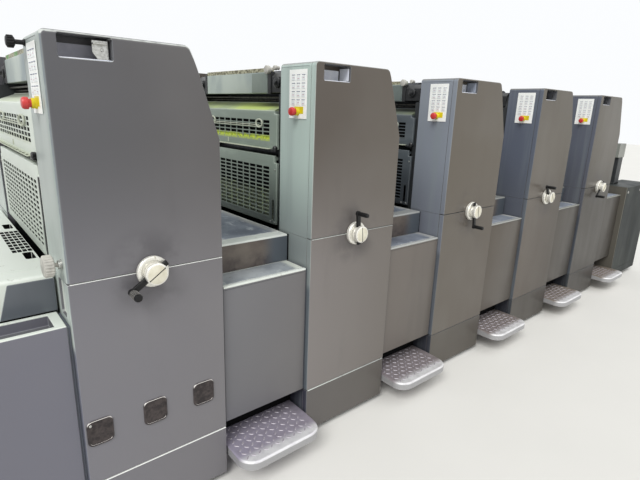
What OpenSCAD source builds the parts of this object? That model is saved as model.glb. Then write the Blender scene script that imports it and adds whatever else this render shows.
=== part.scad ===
// Five-unit sheet-fed offset printing press, operator side facing -Y.
// Delivery end at -X, feeder at +X. Origin on the floor at the middle of the footprint.
// Inside the modules x counts from the first unit's left edge, y from the front of its covers.

/* [Printing units] */
// Distance from one printing unit to the next
unit_pitch = 800; // [790:5:840]
// Width of a unit's side covers
cover_width = 442; // [430:2:450]
// Width of the upper cover at its top, right of which it slopes
cover_top_width = 360; // [340:2:380]
// Depth of the covers on the operator side
cover_depth = 200; // [190:2:220]
// Depth of the covers on the drive side
drive_cover_depth = 300; // [280:5:320]
// Top of the upper covers
cover_top_z = 1444; // [1436:2:1470]
// Height where the upper cover starts to slope
slope_start_z = 1195; // [1180:5:1220]
// Height of the seam between upper and lower covers
seam_z = 832; // [826:1:838]
// Height of the seam between lower cover and kick panel
kick_seam_z = 210; // [190:2:230]
// Lower edge of the kick panels
kick_bottom_z = 24; // [20:1:50]
// Width of the seams between covers
seam_gap = 3; // [2:0.5:5]

/* [Hand-holds] */
// Left edge of the hand-hold in an upper cover
handhold_x = 36; // [30:1:45]
// Width of the hand-hold
handhold_width = 122; // [100:2:130]
// Height of the hand-hold
handhold_height = 54; // [40:1:60]
// Material left above the hand-hold
handhold_rim = 6; // [5:0.5:10]
// Depth of the hand-hold pockets
handhold_depth = 60; // [40:5:100]
// Depth of the first unit's hand-hold, which is deeper
first_handhold_depth = 80; // [60:5:120]

/* [Frames and bed] */
// Thickness of a cast side frame
frame_thickness = 40; // [36:1:46]
// Clear width between the side frames
frame_gap = 720; // [700:5:760]
// Inset of the frames from the edges of the covers
frame_inset = 21; // [20:0.5:24]
// Top of the side frames
frame_top_z = 1400; // [1396:1:1404]
// Underside of the bed
bed_bottom_z = 60; // [50:2:80]
// Top of the bed
bed_top_z = 300; // [260:5:320]
// Diameter of a levelling foot
foot_diameter = 120; // [90:5:140]

/* [Panels and decks between the units] */
// Gap between covers and the panels beside them
side_gap = 8; // [6:1:10]
// Depth by which the infill panels stand back
infill_recess = 14; // [8:1:20]
// Lower edge of the infill panels
infill_bottom_z = 218; // [212:2:240]
// Top of the infill panels, which is the tread
tread_z = 723; // [700:1:740]
// Distance of the risers behind the front
riser_y = 133; // [120:1:150]
// Top of the decks
deck_z = 829; // [820:1:832]

/* [Footboards] */
// Top of the footboards
step_z = 120; // [110:2:140]
// Thickness of a footboard
step_thickness = 34; // [28:1:40]
// Overhang of a footboard in front of the covers
step_overhang = 124; // [112:2:150]
// Cut across a footboard's front corners
step_corner = 46; // [20:2:60]

/* [Guards] */
// Thickness of the guards over their folded edges
guard_thickness = 12; // [10:1:14]
// Gap between a unit's left edge and its guards
guard_gap = 4; // [3:0.5:4.5]
// Clearance of the guards' hinge webs from the side frames
guard_end_gap = 6; // [5:0.5:8]
// How far the guards reach over the side frames
guard_lap = 12; // [8:1:16]
// Distance of the lower guards' side laps below their rod
lap_drop = 16; // [14:1:30]
// Lower edge of the lower guards
lower_guard_bottom_z = 840; // [836:1:850]
// Upper edge of the lower guards
lower_guard_top_z = 1112; // [1104:1:1116]
// Lower edge of the upper guards
upper_guard_bottom_z = 1136; // [1134:1:1150]
// Front edge of the upper guards' sloping top
upper_guard_top_z = 1280; // [1270:1:1284]
// Diameter of the hinge rods
rod_diameter = 12; // [10:0.5:14]
// Radial clearance of the hinge rods in the frames
rod_clearance = 0.1; // [0.05:0.01:0.1]
// Length of a hinge rod inside a frame
rod_seat = 15; // [10:1:25]
// Distance of the upper hinge rod behind the unit's left edge
upper_rod_x = 80; // [76:1:84]
// Height of the upper hinge rod
upper_rod_z = 1306; // [1302:1:1310]
// Distance of the lower hinge rod behind the unit's left edge
lower_rod_x = 34; // [32:1:36]
// Height of the lower hinge rod
lower_rod_z = 1100; // [1092:1:1102]
// Width of the finger slot in a lower guard
slot_width = 14; // [10:1:20]
// Height of the finger slot
slot_height = 84; // [70:2:120]
// Lower end of the finger slot
slot_z = 856; // [850:1:890]
// Distance of the finger slot from the guard's front edge
slot_inset = 16; // [14:1:44]

/* [Ink ducts and rollers] */
// Length of an ink duct
duct_length = 540; // [500:5:560]
// Distance of the duct's face behind the unit's left edge
duct_x = 44; // [42:1:48]
// Underside of the duct
duct_bottom_z = 1344; // [1342:1:1350]
// Height of the duct's face
duct_height = 80; // [70:1:84]
// Depth of the duct at its bottom
duct_depth = 96; // [90:1:100]
// Width of the duct's top edge
duct_lip = 16; // [10:1:22]
// Length of a duct bracket
bracket_length = 170; // [164:2:200]
// Distance of a bracket's outline behind the duct's face and above its underside
bracket_setback = 2; // [1:0.5:4]
// Height of the slanted cut at a bracket's front corner
bracket_cut = 20; // [12:1:30]
// Gap between the brackets and the shoulder of the side frames under them
bracket_gap = 4; // [2:0.5:8]
// Radius of the duct roller
duct_roller_radius = 42; // [36:1:44]
// Distance of the duct roller behind the duct's face
duct_roller_x = 116; // [112:1:122]
// Height of the duct roller above the duct's underside
duct_roller_rise = 54; // [46:1:58]
// Radius of the inking rollers
roller_radius = 33; // [28:1:34]
// Distance of the front row of inking rollers behind the unit's left edge
roller_front_x = 190; // [184:1:196]
// Distance from the front row of inking rollers to the back row
roller_stagger = 72; // [66:1:90]
// Height of the lowest inking roller above the plate cylinder
roller_rise = 126; // [124:1:136]
// Height from one inking roller to the next
roller_step = 38; // [36:1:40]

/* [Cylinders] */
// Radius of the plate, blanket and impression cylinders
cylinder_radius = 88; // [80:1:89]
// Distance of the plate cylinder behind the unit's left edge
cylinder_x = 200; // [190:1:210]
// Height of the plate cylinder
plate_cylinder_z = 1100; // [1090:1:1104]
// Gap between cylinders that stand off impression
cylinder_gap = 4; // [2:0.5:8]
// Angle by which the impression cylinder stands behind the blanket cylinder
impression_angle = 34; // [20:1:40]

/* [Handwheels] */
// Distance of a handwheel's centre from the unit's left edge
wheel_x = 218; // [200:2:240]
// Height of the handwheels' centres above the seam
wheel_rise = 0; // [-4:1:18]
// Diameter of the fixed collar
collar_diameter = 90; // [84:1:100]
// Depth of the fixed collar
collar_depth = 16; // [14:1:26]
// Diameter of the turning dial
dial_diameter = 64; // [60:1:84]
// Depth of the turning dial
dial_depth = 16; // [12:1:24]
// Diameter of the hub between collar and dial
hub_diameter = 56; // [40:1:58]
// Depth of the hub, in whose groove the crank arm lies
hub_depth = 12; // [12:0.5:16]
// Diameter of the spindle
spindle_diameter = 16; // [12:0.5:20]
// Throw of the crank
crank_throw = 80; // [70:1:96]
// Width of the crank arm
arm_width = 15; // [12:0.5:20]
// Thickness of the crank arm
arm_thickness = 10; // [8:0.5:11]
// Diameter of the arm's eye under the grip
arm_eye_diameter = 19; // [17:0.5:22]
// Diameter of the crank's grip
grip_diameter = 22; // [18:0.5:26]
// Length of the crank's grip
grip_length = 56; // [40:1:64]
// Gap between collar and hub
hub_gap = 0.5; // [0.3:0.1:1]

/* [Buttons and knobs] */
// Thickness of a button panel
panel_thickness = 2; // [1.5:0.5:4]
// Distance of the button panels from the covers' front
panel_y = 44; // [36:1:60]
// Width of a button panel
panel_width = 100; // [90:1:110]
// Distance of the button panels below the covers' top
panel_drop = 24; // [14:2:30]
// Height of a button panel
panel_height = 164; // [150:1:170]
// Height of the stop buttons above their panel's lower edge
stop_rise = 24; // [22:1:34]
// Diameter of a stop button's base
stop_base_diameter = 40; // [36:1:46]
// Depth of a stop button's base
stop_base_depth = 13; // [11:0.5:16]
// Diameter of a stop button's head
stop_head_diameter = 34; // [28:1:36]
// Depth of a stop button's head
stop_head_depth = 16; // [12:0.5:20]
// Gap between head and base
stop_gap = 4.5; // [4:0.5:6]
// Diameter of a stop button's stem
stop_stem_diameter = 12; // [8:0.5:14]
// Distance of the side knob from the covers' front
knob_y = 42; // [38:1:50]
// Height of the side knob above the seam
knob_rise = 48; // [34:1:64]
// Diameter of the side knob
knob_diameter = 58; // [50:1:64]
// Length of the side knob
knob_length = 26; // [22:1:36]
// Distance of the black latch knob below the covers' top
latch_drop = 20; // [18:1:30]
// Diameter of the black latch knob
latch_diameter = 30; // [24:1:34]
// Length of the black latch knob
latch_length = 20; // [16:1:34]
// Distance of the latch knob from the covers' front
latch_y = 168; // [158:1:174]
// Diameter of the knobs' pins
pin_diameter = 12; // [10:0.5:14]
// Length of the two knobs' bushes
bush_length = 9; // [7:0.5:12]
// Gap between the side knob and its bush
knob_gap = 9; // [5:0.5:14]
// Gap between the latch knob and its bush
latch_gap = 12; // [5:0.5:14]

/* [Cover plates] */
// Width of the three small cover plates on the first unit
plate_width = 72; // [60:1:80]
// Height of the small cover plates
plate_height = 82; // [70:1:100]
// Corner radius of the small cover plates
plate_corner = 16; // [8:1:24]
// Thickness of the small cover plates
plate_thickness = 3; // [2:0.5:5]
// Height of their centres
plate_z = 380; // [360:2:420]
// Distance between their centres
plate_spacing = 160; // [150:1:165]
// Distance of the first one's centre from the unit's left edge
plate_x = 42; // [41:1:60]

/* [Delivery] */
// Length of the delivery from the first unit
delivery_length = 1650; // [1550:10:1800]
// Top of the delivery's side walls
delivery_top_z = 1180; // [1120:5:1250]
// Top of the delivery's front panel
delivery_panel_z = 716; // [706:1:720]
// Width of the vented deck next to the first unit
vent_deck_width = 182; // [170:2:200]
// Slope of the vented deck's left side
vent_deck_slope = 34; // [20:1:50]
// Length of the pile bay
pile_bay_length = 760; // [700:10:820]
// Thickness of the delivery's side walls
wall_thickness = 60; // [50:1:70]
// Thickness of the delivery's roof
roof_thickness = 36; // [24:2:50]
// Length of the sloping hood over the sheet path
hood_length = 470; // [420:5:520]
// Length of the hood's flat top
hood_top_length = 120; // [80:5:160]
// Distance of the tool tray from the first unit
tray_start = 34; // [20:2:120]
// Length of the tool tray
tray_length = 666; // [400:2:700]
// Depth of the tool tray
tray_depth = 30; // [20:2:60]
// Wall left in front of and behind the tool tray
tray_wall = 15; // [10:1:20]
// Length of the two vent slots in the vented deck, along the cylinders
vent_slot_length = 76; // [60:2:90]
// Width of a vent slot
vent_slot_width = 24; // [20:1:30]
// Depth of a vent slot
vent_slot_depth = 25; // [16:1:40]
// Distance of the vent slots from the deck's right edge
vent_slot_inset = 8; // [8:1:30]
// Distance of the first vent slot from the side frame
vent_slot_y = 72; // [40:2:80]
// Distance from one vent slot to the other
vent_slot_spacing = 432; // [400:4:500]
// Thickness of the sheets that close the units' right sides
rear_panel_thickness = 10; // [6:0.5:14]
// Distance of those sheets from the outsides of the frames
rear_panel_inset = 5; // [3:0.5:10]

/* [Pile boards and chains] */
// Thickness of a pile board
board_thickness = 28; // [22:1:36]
// Distance of a pile board from the ends of its bay
board_inset = 50; // [40:2:58]

/* [Feeder] */
// Distance of the feeder in front of the next unit's place
feeder_setback = 24; // [16:1:32]
// Length of the feeder's side cabinets
feeder_length = 552; // [520:4:640]
// How far the feeder's cabinets stand forward
feeder_forward = 24; // [10:1:40]
// Top of the feeder's side cabinets
feeder_top_z = 784; // [760:2:800]
// Lower edge of the feeder's side cabinets
feeder_bottom_z = 40; // [30:1:60]
// Underside of the feeder head's beam
head_z = 1000; // [980:5:1060]
// Height of the feeder head's beam
head_height = 110; // [90:2:130]
// Distance of the head's columns from the feeder's left edge
column_x = 120; // [110:2:150]
// Width of a column
column_width = 90; // [70:2:100]
// Depth of a column
column_depth = 80; // [60:2:100]
// How far the head's beam reaches past its columns
head_overhang = 20; // [10:1:40]
// Distance of the feed board's end before the columns
feed_board_gap = 40; // [30:2:60]
// Distance of the bed's end inside the feeder's end
bed_inset = 60; // [40:5:100]
// Rise of the feed board towards the pile
feed_rise = 60; // [40:2:80]
// Underside of the feeder's pile board
feeder_board_z = 320; // [310:5:400]
// Underside of the delivery's pile board
delivery_board_z = 240; // [150:5:400]
// Distance of the hoist chains from the ends of their bay
chain_inset = 70; // [62:2:90]
// Distance of the chains' upper ends below the walls' top
chain_drop = 60; // [40:5:100]
// Width of a hoist chain
chain_width = 40; // [30:1:50]
// Thickness of a hoist chain
chain_thickness = 10; // [8:0.5:14]

/* [Hidden] */

$fn = 64;
units = 5;
unit_list = [0 : units - 1];
crank_angles = [215, 95, 279, 127, 229];

wheel_z = seam_z + wheel_rise;
knob_z = seam_z + knob_rise;
latch_z = cover_top_z - latch_drop;
panel_z = cover_top_z - panel_drop - panel_height;
stop_z = panel_z + stop_rise;
duct_top_z = duct_bottom_z + duct_height;
shoulder_z = duct_bottom_z - bracket_gap;
frame_y = cover_depth;
inner_y = frame_y + frame_thickness;
far_inner_y = inner_y + frame_gap;
drive_y = far_inner_y + frame_thickness;
total_depth = drive_y + drive_cover_depth;
last_x = units * unit_pitch;
feeder_x = last_x - feeder_setback;
feeder_end_x = feeder_x + feeder_length;
bed_depth = drive_y - frame_y;
hub_front = -collar_depth - hub_gap - hub_depth;
arm_back = hub_front + arm_thickness;
rod_radius = rod_diameter / 2;
bore_radius = rod_radius + rod_clearance;
pivot_clearance = 0.1;
joint_overlap = 1;
bore_floor = 2;
pin_end_gap = 3;
stem_seat = 4;
duct_start_y = inner_y + (frame_gap - duct_length) / 2;
duct_end_y = duct_start_y + duct_length;
drive_riser_y = total_depth - riser_y;
panel_middle_y = panel_y + panel_width / 2;
bay_end_x = -delivery_length + pile_bay_length;
delivery_bay_width = drive_riser_y - riser_y - 2 * wall_thickness;
feeder_far_y = total_depth - cover_depth;

middle_x = (feeder_end_x - delivery_length) / 2;
middle_y = (total_depth - step_overhang) / 2;

// Moves a piece from the press's own corner to the origin at the middle of the footprint
module in_place() {
    translate([-middle_x, -middle_y, 0]) children();
}

module at_unit(i) {
    translate([i * unit_pitch, 0, 0]) children();
}

// Upright slab with the given outline in x and z, from y on backwards by depth
module slab(y, depth, outline) {
    translate([0, y + depth, 0])
        rotate([90, 0, 0])
            linear_extrude(height = depth)
                polygon(outline);
}

// Round bar along y
module bar_y(x, z, y, length, radius) {
    translate([x, y + length, z])
        rotate([90, 0, 0])
            cylinder(h = length, r = radius);
}

// Round bar along x
module bar_x(x, y, z, length, radius) {
    translate([x, y, z])
        rotate([0, 90, 0])
            cylinder(h = length, r = radius);
}

// Right edge of an upper cover at a height
function slope_x(z) =
    cover_width - (cover_width - cover_top_width) * (z - slope_start_z) / (cover_top_z - slope_start_z);

module bed() {
    color("dimgray") in_place() {
        translate([bay_end_x, frame_y, bed_bottom_z])
            cube([feeder_end_x - bed_inset - bay_end_x, bed_depth, bed_top_z - bed_bottom_z]);
    }
}

module levelling_feet() {
    unit_xs = [for (i = unit_list) i * unit_pitch + cover_width / 2];
    last_foot_x = feeder_end_x - foot_diameter - bed_inset;
    foot_xs = concat([bay_end_x + foot_diameter], unit_xs, [last_foot_x]);
    color("silver") in_place() {
        for (x = foot_xs, y = [frame_y + foot_diameter, drive_y - foot_diameter])
            translate([x, y, 0]) cylinder(h = bed_bottom_z, d = foot_diameter);
        for (y = [riser_y + wall_thickness / 2, drive_riser_y - wall_thickness / 2])
            translate([-delivery_length + foot_diameter, y, 0])
                cylinder(h = bed_bottom_z, d = wall_thickness);
    }
}

module frame_plate(y) {
    difference() {
        slab(y, frame_thickness, [
            [frame_inset, bed_top_z],
            [cover_width - frame_inset, bed_top_z],
            [cover_width - frame_inset, slope_start_z],
            [slope_x(frame_top_z) - frame_inset, frame_top_z],
            [duct_x + duct_lip, frame_top_z],
            [duct_x, shoulder_z],
            [frame_inset, shoulder_z]
        ]);
        bar_y(lower_rod_x, lower_rod_z, y - 1, frame_thickness + 2, bore_radius);
        bar_y(upper_rod_x, upper_rod_z, y - 1, frame_thickness + 2, bore_radius);
    }
}

module side_frames() {
    color("darkslategray") in_place()
        for (i = unit_list, y = [frame_y, far_inner_y]) at_unit(i) frame_plate(y);
}

// Plate, blanket and impression cylinder of each unit
module printing_cylinders() {
    step = 2 * cylinder_radius + cylinder_gap;
    blanket_z = plate_cylinder_z - step;
    impression_x = cylinder_x + step * sin(impression_angle);
    impression_z = blanket_z - step * cos(impression_angle);
    color("lightsteelblue") in_place()
        for (i = unit_list) at_unit(i) {
            bar_y(cylinder_x, plate_cylinder_z, inner_y, frame_gap, cylinder_radius);
            bar_y(cylinder_x, blanket_z, inner_y, frame_gap, cylinder_radius);
            bar_y(impression_x, impression_z, inner_y, frame_gap, cylinder_radius);
        }
}

// Four inking rollers in two rows above the plate cylinder, and the duct roller
module ink_rollers() {
    lowest_z = plate_cylinder_z + roller_rise;
    color("dimgray") in_place()
        for (i = unit_list) at_unit(i) {
            for (k = [0 : 3])
                bar_y(roller_front_x + (k % 2) * roller_stagger, lowest_z + k * roller_step,
                      inner_y, frame_gap, roller_radius);
            bar_y(duct_x + duct_roller_x, duct_bottom_z + duct_roller_rise,
                  duct_start_y, duct_length, duct_roller_radius);
        }
}

module ink_ducts() {
    color("silver") in_place()
        for (i = unit_list) at_unit(i)
            slab(duct_start_y, duct_length, [
                [duct_x, duct_bottom_z],
                [duct_x + duct_depth, duct_bottom_z],
                [duct_x + duct_lip, duct_top_z],
                [duct_x, duct_top_z]
            ]);
}

module duct_brackets() {
    front = duct_x + bracket_setback;
    bottom = duct_bottom_z + bracket_setback;
    outline = [
        [front, bottom],
        [duct_x + bracket_length, bottom],
        [duct_x + bracket_length, duct_top_z],
        [front + bracket_cut, duct_top_z],
        [front, duct_top_z - bracket_cut]
    ];
    color("black") in_place()
        for (i = unit_list) at_unit(i) {
            slab(inner_y, duct_start_y - inner_y, outline);
            slab(duct_end_y, far_inner_y - duct_end_y, outline);
        }
}

module cover_outline_slab(y, depth) {
    slab(y, depth, [
        [0, seam_z + seam_gap],
        [cover_width, seam_z + seam_gap],
        [cover_width, slope_start_z],
        [cover_top_width, cover_top_z],
        [0, cover_top_z]
    ]);
}

module upper_side_covers() {
    hole_z = cover_top_z - handhold_rim - handhold_height;
    color("dimgray") in_place()
        for (i = unit_list) at_unit(i)
            difference() {
                depth = i == 0 ? first_handhold_depth : handhold_depth;
                cover_outline_slab(0, cover_depth);
                translate([handhold_x, -1, hole_z])
                    cube([handhold_width, depth + 1, handhold_height]);
            }
}

module lower_side_covers() {
    color("dimgray") in_place()
        for (i = unit_list) at_unit(i)
            translate([0, 0, kick_seam_z + seam_gap])
                cube([cover_width, cover_depth, seam_z - kick_seam_z - seam_gap]);
}

module kick_panels() {
    color("dimgray") in_place()
        for (i = unit_list) at_unit(i)
            translate([0, 0, kick_bottom_z])
                cube([cover_width, cover_depth, kick_seam_z - kick_bottom_z]);
}

// Fixed sheets that close the units' right sides between the frames
module rear_panels() {
    bottom = deck_z + side_gap;
    color("darkslategray") in_place()
        for (i = unit_list) at_unit(i)
            translate([cover_width - frame_inset, frame_y + rear_panel_inset, bottom])
                cube([rear_panel_thickness, bed_depth - 2 * rear_panel_inset, slope_start_z - bottom]);
}

module drive_upper_covers() {
    color("dimgray") in_place()
        for (i = unit_list) at_unit(i) cover_outline_slab(drive_y, drive_cover_depth);
}

module drive_lower_covers() {
    color("dimgray") in_place()
        for (i = unit_list) at_unit(i)
            translate([0, drive_y, kick_bottom_z])
                cube([cover_width, drive_cover_depth, seam_z - kick_bottom_z]);
}

// Gap to the right of unit i: its left edge and width
function gap_x(i) = i * unit_pitch + cover_width + side_gap;
function gap_end(i) = i == units - 1 ? feeder_x - side_gap : (i + 1) * unit_pitch - side_gap;

module infill_blocks(y, depth) {
    for (i = unit_list)
        translate([gap_x(i), y, infill_bottom_z])
            cube([gap_end(i) - gap_x(i), depth, tread_z - infill_bottom_z]);
}

module infill_panels() {
    color("dimgray") in_place() {
        infill_blocks(infill_recess, riser_y - infill_recess);
        infill_blocks(drive_riser_y, riser_y - infill_recess);
    }
}

module unit_decks() {
    color("slategray") in_place()
        for (i = unit_list)
            translate([gap_x(i), riser_y, bed_top_z])
                cube([gap_end(i) - gap_x(i), drive_riser_y - riser_y, deck_z - bed_top_z]);
}

module footboards() {
    color("rosybrown") in_place()
        for (i = unit_list)
            translate([0, 0, step_z - step_thickness])
                linear_extrude(height = step_thickness)
                    polygon([
                        [gap_x(i), frame_y],
                        [gap_x(i), -step_overhang + step_corner],
                        [gap_x(i) + step_corner, -step_overhang],
                        [gap_end(i) - step_corner, -step_overhang],
                        [gap_end(i), -step_overhang + step_corner],
                        [gap_end(i), frame_y]
                    ]);
}

module button_panels() {
    color("white") in_place()
        for (i = unit_list) at_unit(i)
            translate([-panel_thickness, panel_y, panel_z])
                cube([panel_thickness, panel_width, panel_height]);
}

module stop_bases() {
    base_x = -panel_thickness - stop_base_depth;
    bore = stop_stem_diameter / 2 + pivot_clearance;
    color("gold") in_place()
        for (i = unit_list) at_unit(i)
            difference() {
                bar_x(base_x, panel_middle_y, stop_z, stop_base_depth, stop_base_diameter / 2);
                bar_x(base_x - 1, panel_middle_y, stop_z, stop_base_depth + 1 - bore_floor, bore);
            }
}

module stop_button(i) {
    head_x = -panel_thickness - stop_base_depth - stop_gap - stop_head_depth;
    color("red") in_place() at_unit(i) {
        bar_x(head_x, panel_middle_y, stop_z, stop_head_depth, stop_head_diameter / 2);
        bar_x(head_x + stop_head_depth, panel_middle_y, stop_z,
              stop_gap + stem_seat, stop_stem_diameter / 2);
    }
}

// Fixed bearing collars of the handwheels, and bushes of the two knobs on the first unit
module bearing_collars() {
    bore = spindle_diameter / 2 + pivot_clearance;
    color("gainsboro") in_place() {
        for (i = unit_list) at_unit(i)
            difference() {
                bar_y(wheel_x, wheel_z, -collar_depth, collar_depth, collar_diameter / 2);
                bar_y(wheel_x, wheel_z, -collar_depth - 1, collar_depth + 1 - bore_floor, bore);
            }
        knob_bush(knob_y, knob_z);
        knob_bush(latch_y, latch_z);
    }
}

module knob_bush(y, z) {
    difference() {
        bar_x(-bush_length, y, z, bush_length, pin_diameter);
        bar_x(-bush_length - 1, y, z, bush_length + 1 - bore_floor, pin_diameter / 2 + pivot_clearance);
    }
}

module handwheel(i) {
    color("ivory") in_place() at_unit(i) {
        bar_y(wheel_x, wheel_z, hub_front - dial_depth, dial_depth, dial_diameter / 2);
        bar_y(wheel_x, wheel_z, hub_front - joint_overlap, hub_depth + joint_overlap, hub_diameter / 2);
        bar_y(wheel_x, wheel_z, -collar_depth - hub_gap - joint_overlap,
              joint_overlap + hub_gap + collar_depth - pin_end_gap, spindle_diameter / 2);
        translate([wheel_x, arm_back, wheel_z])
            rotate([90, -crank_angles[i], 0]) {
                linear_extrude(height = arm_thickness + joint_overlap)
                    union() {
                        translate([0, -arm_width / 2]) square([crank_throw, arm_width]);
                        translate([crank_throw, 0]) circle(d = arm_eye_diameter);
                    }
                translate([crank_throw, 0, joint_overlap])
                    cylinder(h = grip_length, d = grip_diameter);
            }
    }
}

module knob(y, z, gap, length, diameter) {
    head_x = -bush_length - gap - length;
    bar_x(head_x, y, z, length, diameter / 2);
    bar_x(head_x + length, y, z, gap + bush_length - pin_end_gap, pin_diameter / 2);
}

module side_knob() {
    color("lightgray") in_place() knob(knob_y, knob_z, knob_gap, knob_length, knob_diameter);
}

module latch_knob() {
    color("black") in_place() knob(latch_y, latch_z, latch_gap, latch_length, latch_diameter);
}

module cover_plates() {
    half_width = plate_width / 2 - plate_corner;
    half_height = plate_height / 2 - plate_corner;
    color("black") in_place()
        for (k = [0 : 2])
            translate([plate_x + k * plate_spacing, 0, plate_z])
                rotate([90, 0, 0])
                    linear_extrude(height = plate_thickness)
                        union() {
                            square([plate_width, 2 * half_height], center = true);
                            square([2 * half_width, plate_height], center = true);
                            for (sx = [-1, 1], sz = [-1, 1])
                                translate([sx * half_width, sz * half_height]) circle(r = plate_corner);
                        }
}

// Upper guard: slotted front with a sloping top that ends at its hinge rod
module upper_guard(i) {
    inner_x = guard_gap + guard_thickness;
    top_inner_z = upper_guard_top_z - guard_thickness;
    color("darkslategray") in_place() at_unit(i) {
        translate([guard_gap, inner_y - guard_lap, upper_guard_bottom_z])
            cube([guard_thickness, frame_gap + 2 * guard_lap, top_inner_z - upper_guard_bottom_z]);
        slab(inner_y + guard_end_gap, frame_gap - 2 * guard_end_gap, [
            [guard_gap, top_inner_z - joint_overlap],
            [inner_x, top_inner_z - joint_overlap],
            [upper_rod_x, upper_rod_z - rod_radius],
            [upper_rod_x, upper_rod_z + rod_radius],
            [guard_gap, upper_guard_top_z]
        ]);
        bar_y(upper_rod_x, upper_rod_z, inner_y - rod_seat, frame_gap + 2 * rod_seat, rod_radius);
    }
}

// Lower guard: framed grille with a finger slot, hung on a rod at its top
module lower_guard(i) {
    guard_y = inner_y - guard_lap;
    middle_start_y = inner_y + guard_end_gap;
    middle_width = frame_gap - 2 * guard_end_gap;
    lap_height = lower_rod_z - lap_drop - lower_guard_bottom_z;
    color("darkslategray") in_place() at_unit(i) {
        difference() {
            union() {
                translate([guard_gap, guard_y, lower_guard_bottom_z])
                    cube([guard_thickness, frame_gap + 2 * guard_lap, lap_height]);
                translate([guard_gap, middle_start_y, lower_guard_bottom_z])
                    cube([guard_thickness, middle_width, lower_guard_top_z - lower_guard_bottom_z]);
            }
            translate([guard_gap - 1, guard_y + slot_inset, slot_z])
                cube([guard_thickness + 2, slot_width, slot_height]);
        }
        translate([guard_gap + guard_thickness - joint_overlap, middle_start_y, lower_rod_z - rod_radius])
            cube([lower_rod_x - guard_gap - guard_thickness + joint_overlap, middle_width, rod_diameter]);
        bar_y(lower_rod_x, lower_rod_z, inner_y - rod_seat, frame_gap + 2 * rod_seat, rod_radius);
    }
}

module delivery_block() {
    color("dimgray") in_place()
        translate([bay_end_x, riser_y, bed_top_z])
            cube([-side_gap - bay_end_x, drive_riser_y - riser_y, delivery_panel_z - bed_top_z]);
}

module delivery_panels() {
    depth = riser_y - infill_recess;
    color("dimgray") in_place() {
        difference() {
            translate([-delivery_length, infill_recess, kick_bottom_z])
                cube([delivery_length - side_gap, depth, delivery_panel_z - kick_bottom_z]);
            translate([-tray_start - tray_length, infill_recess + tray_wall, delivery_panel_z - tray_depth])
                cube([tray_length, depth - 2 * tray_wall, tray_depth + 1]);
        }
        translate([-delivery_length, drive_riser_y, kick_bottom_z])
            cube([delivery_length - side_gap, depth, delivery_panel_z - kick_bottom_z]);
    }
}

module vented_deck() {
    right = -side_gap;
    left = right - vent_deck_width;
    color("slategray") in_place()
        difference() {
            slab(riser_y, drive_riser_y - riser_y, [
                [left, delivery_panel_z],
                [right, delivery_panel_z],
                [right, deck_z],
                [left + vent_deck_slope, deck_z]
            ]);
            for (y = [inner_y + vent_slot_y, inner_y + vent_slot_y + vent_slot_spacing])
                translate([right - vent_slot_inset - vent_slot_width, y, deck_z - vent_slot_depth])
                    cube([vent_slot_width, vent_slot_length, vent_slot_depth + 1]);
        }
}

module delivery_walls() {
    outline = [
        [-delivery_length, bed_bottom_z],
        [bay_end_x, bed_bottom_z],
        [bay_end_x, delivery_top_z],
        [-delivery_length, delivery_top_z]
    ];
    color("dimgray") in_place() {
        slab(riser_y, wall_thickness, outline);
        slab(drive_riser_y - wall_thickness, wall_thickness, outline);
    }
}

// Sloping cover over the sheet path between the vented deck and the pile bay
module delivery_hood() {
    top = delivery_top_z + roof_thickness;
    color("dimgray") in_place()
        slab(riser_y, drive_riser_y - riser_y, [
            [bay_end_x, delivery_panel_z],
            [bay_end_x + hood_length, delivery_panel_z],
            [bay_end_x + hood_length, deck_z],
            [bay_end_x + hood_top_length, top],
            [bay_end_x, top]
        ]);
}

module delivery_roof() {
    color("dimgray") in_place()
        translate([-delivery_length, riser_y, delivery_top_z])
            cube([pile_bay_length, drive_riser_y - riser_y, roof_thickness]);
}

module feeder_cabinets() {
    color("dimgray") in_place() {
        translate([feeder_x, -feeder_forward, feeder_bottom_z])
            cube([feeder_length, cover_depth + feeder_forward, feeder_top_z - feeder_bottom_z]);
        translate([feeder_x, feeder_far_y, feeder_bottom_z])
            cube([feeder_length, total_depth - feeder_far_y, feeder_top_z - feeder_bottom_z]);
    }
}

module feeder_columns() {
    color("darkslategray") in_place()
        for (y = [cover_depth - column_depth, feeder_far_y])
            translate([feeder_x + column_x, y, feeder_top_z])
                cube([column_width, column_depth, head_z - feeder_top_z]);
}

// Beam that carries the suckers over the pile
module feeder_head() {
    beam_length = feeder_far_y - cover_depth + 2 * column_depth;
    color("slategray") in_place()
        translate([feeder_x + column_x - head_overhang, cover_depth - column_depth, head_z])
            cube([column_width + 2 * head_overhang, beam_length, head_height]);
}

// Sloping table that leads the sheets into the last unit
module feed_board() {
    left = gap_x(units - 1) + side_gap;
    right = feeder_x + column_x - feed_board_gap;
    color("silver") in_place()
        slab(inner_y, frame_gap, [
            [left, deck_z],
            [feeder_x - side_gap, deck_z],
            [right, deck_z + feed_rise],
            [right, deck_z + feed_rise + board_thickness],
            [left, deck_z + board_thickness]
        ]);
}

// Wooden boards that carry the piles in the delivery and in the feeder
module pile_boards() {
    bay_y = riser_y + wall_thickness;
    delivery_board_width = delivery_bay_width - 2 * chain_width;
    feeder_board_width = feeder_far_y - cover_depth - 2 * chain_width;
    color("burlywood") in_place() {
        translate([-delivery_length + board_inset, bay_y + chain_width, delivery_board_z])
            cube([pile_bay_length - 2 * board_inset, delivery_board_width, board_thickness]);
        translate([feeder_x + board_inset, cover_depth + chain_width, feeder_board_z])
            cube([feeder_length - 2 * board_inset, feeder_board_width, board_thickness]);
    }
}

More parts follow.
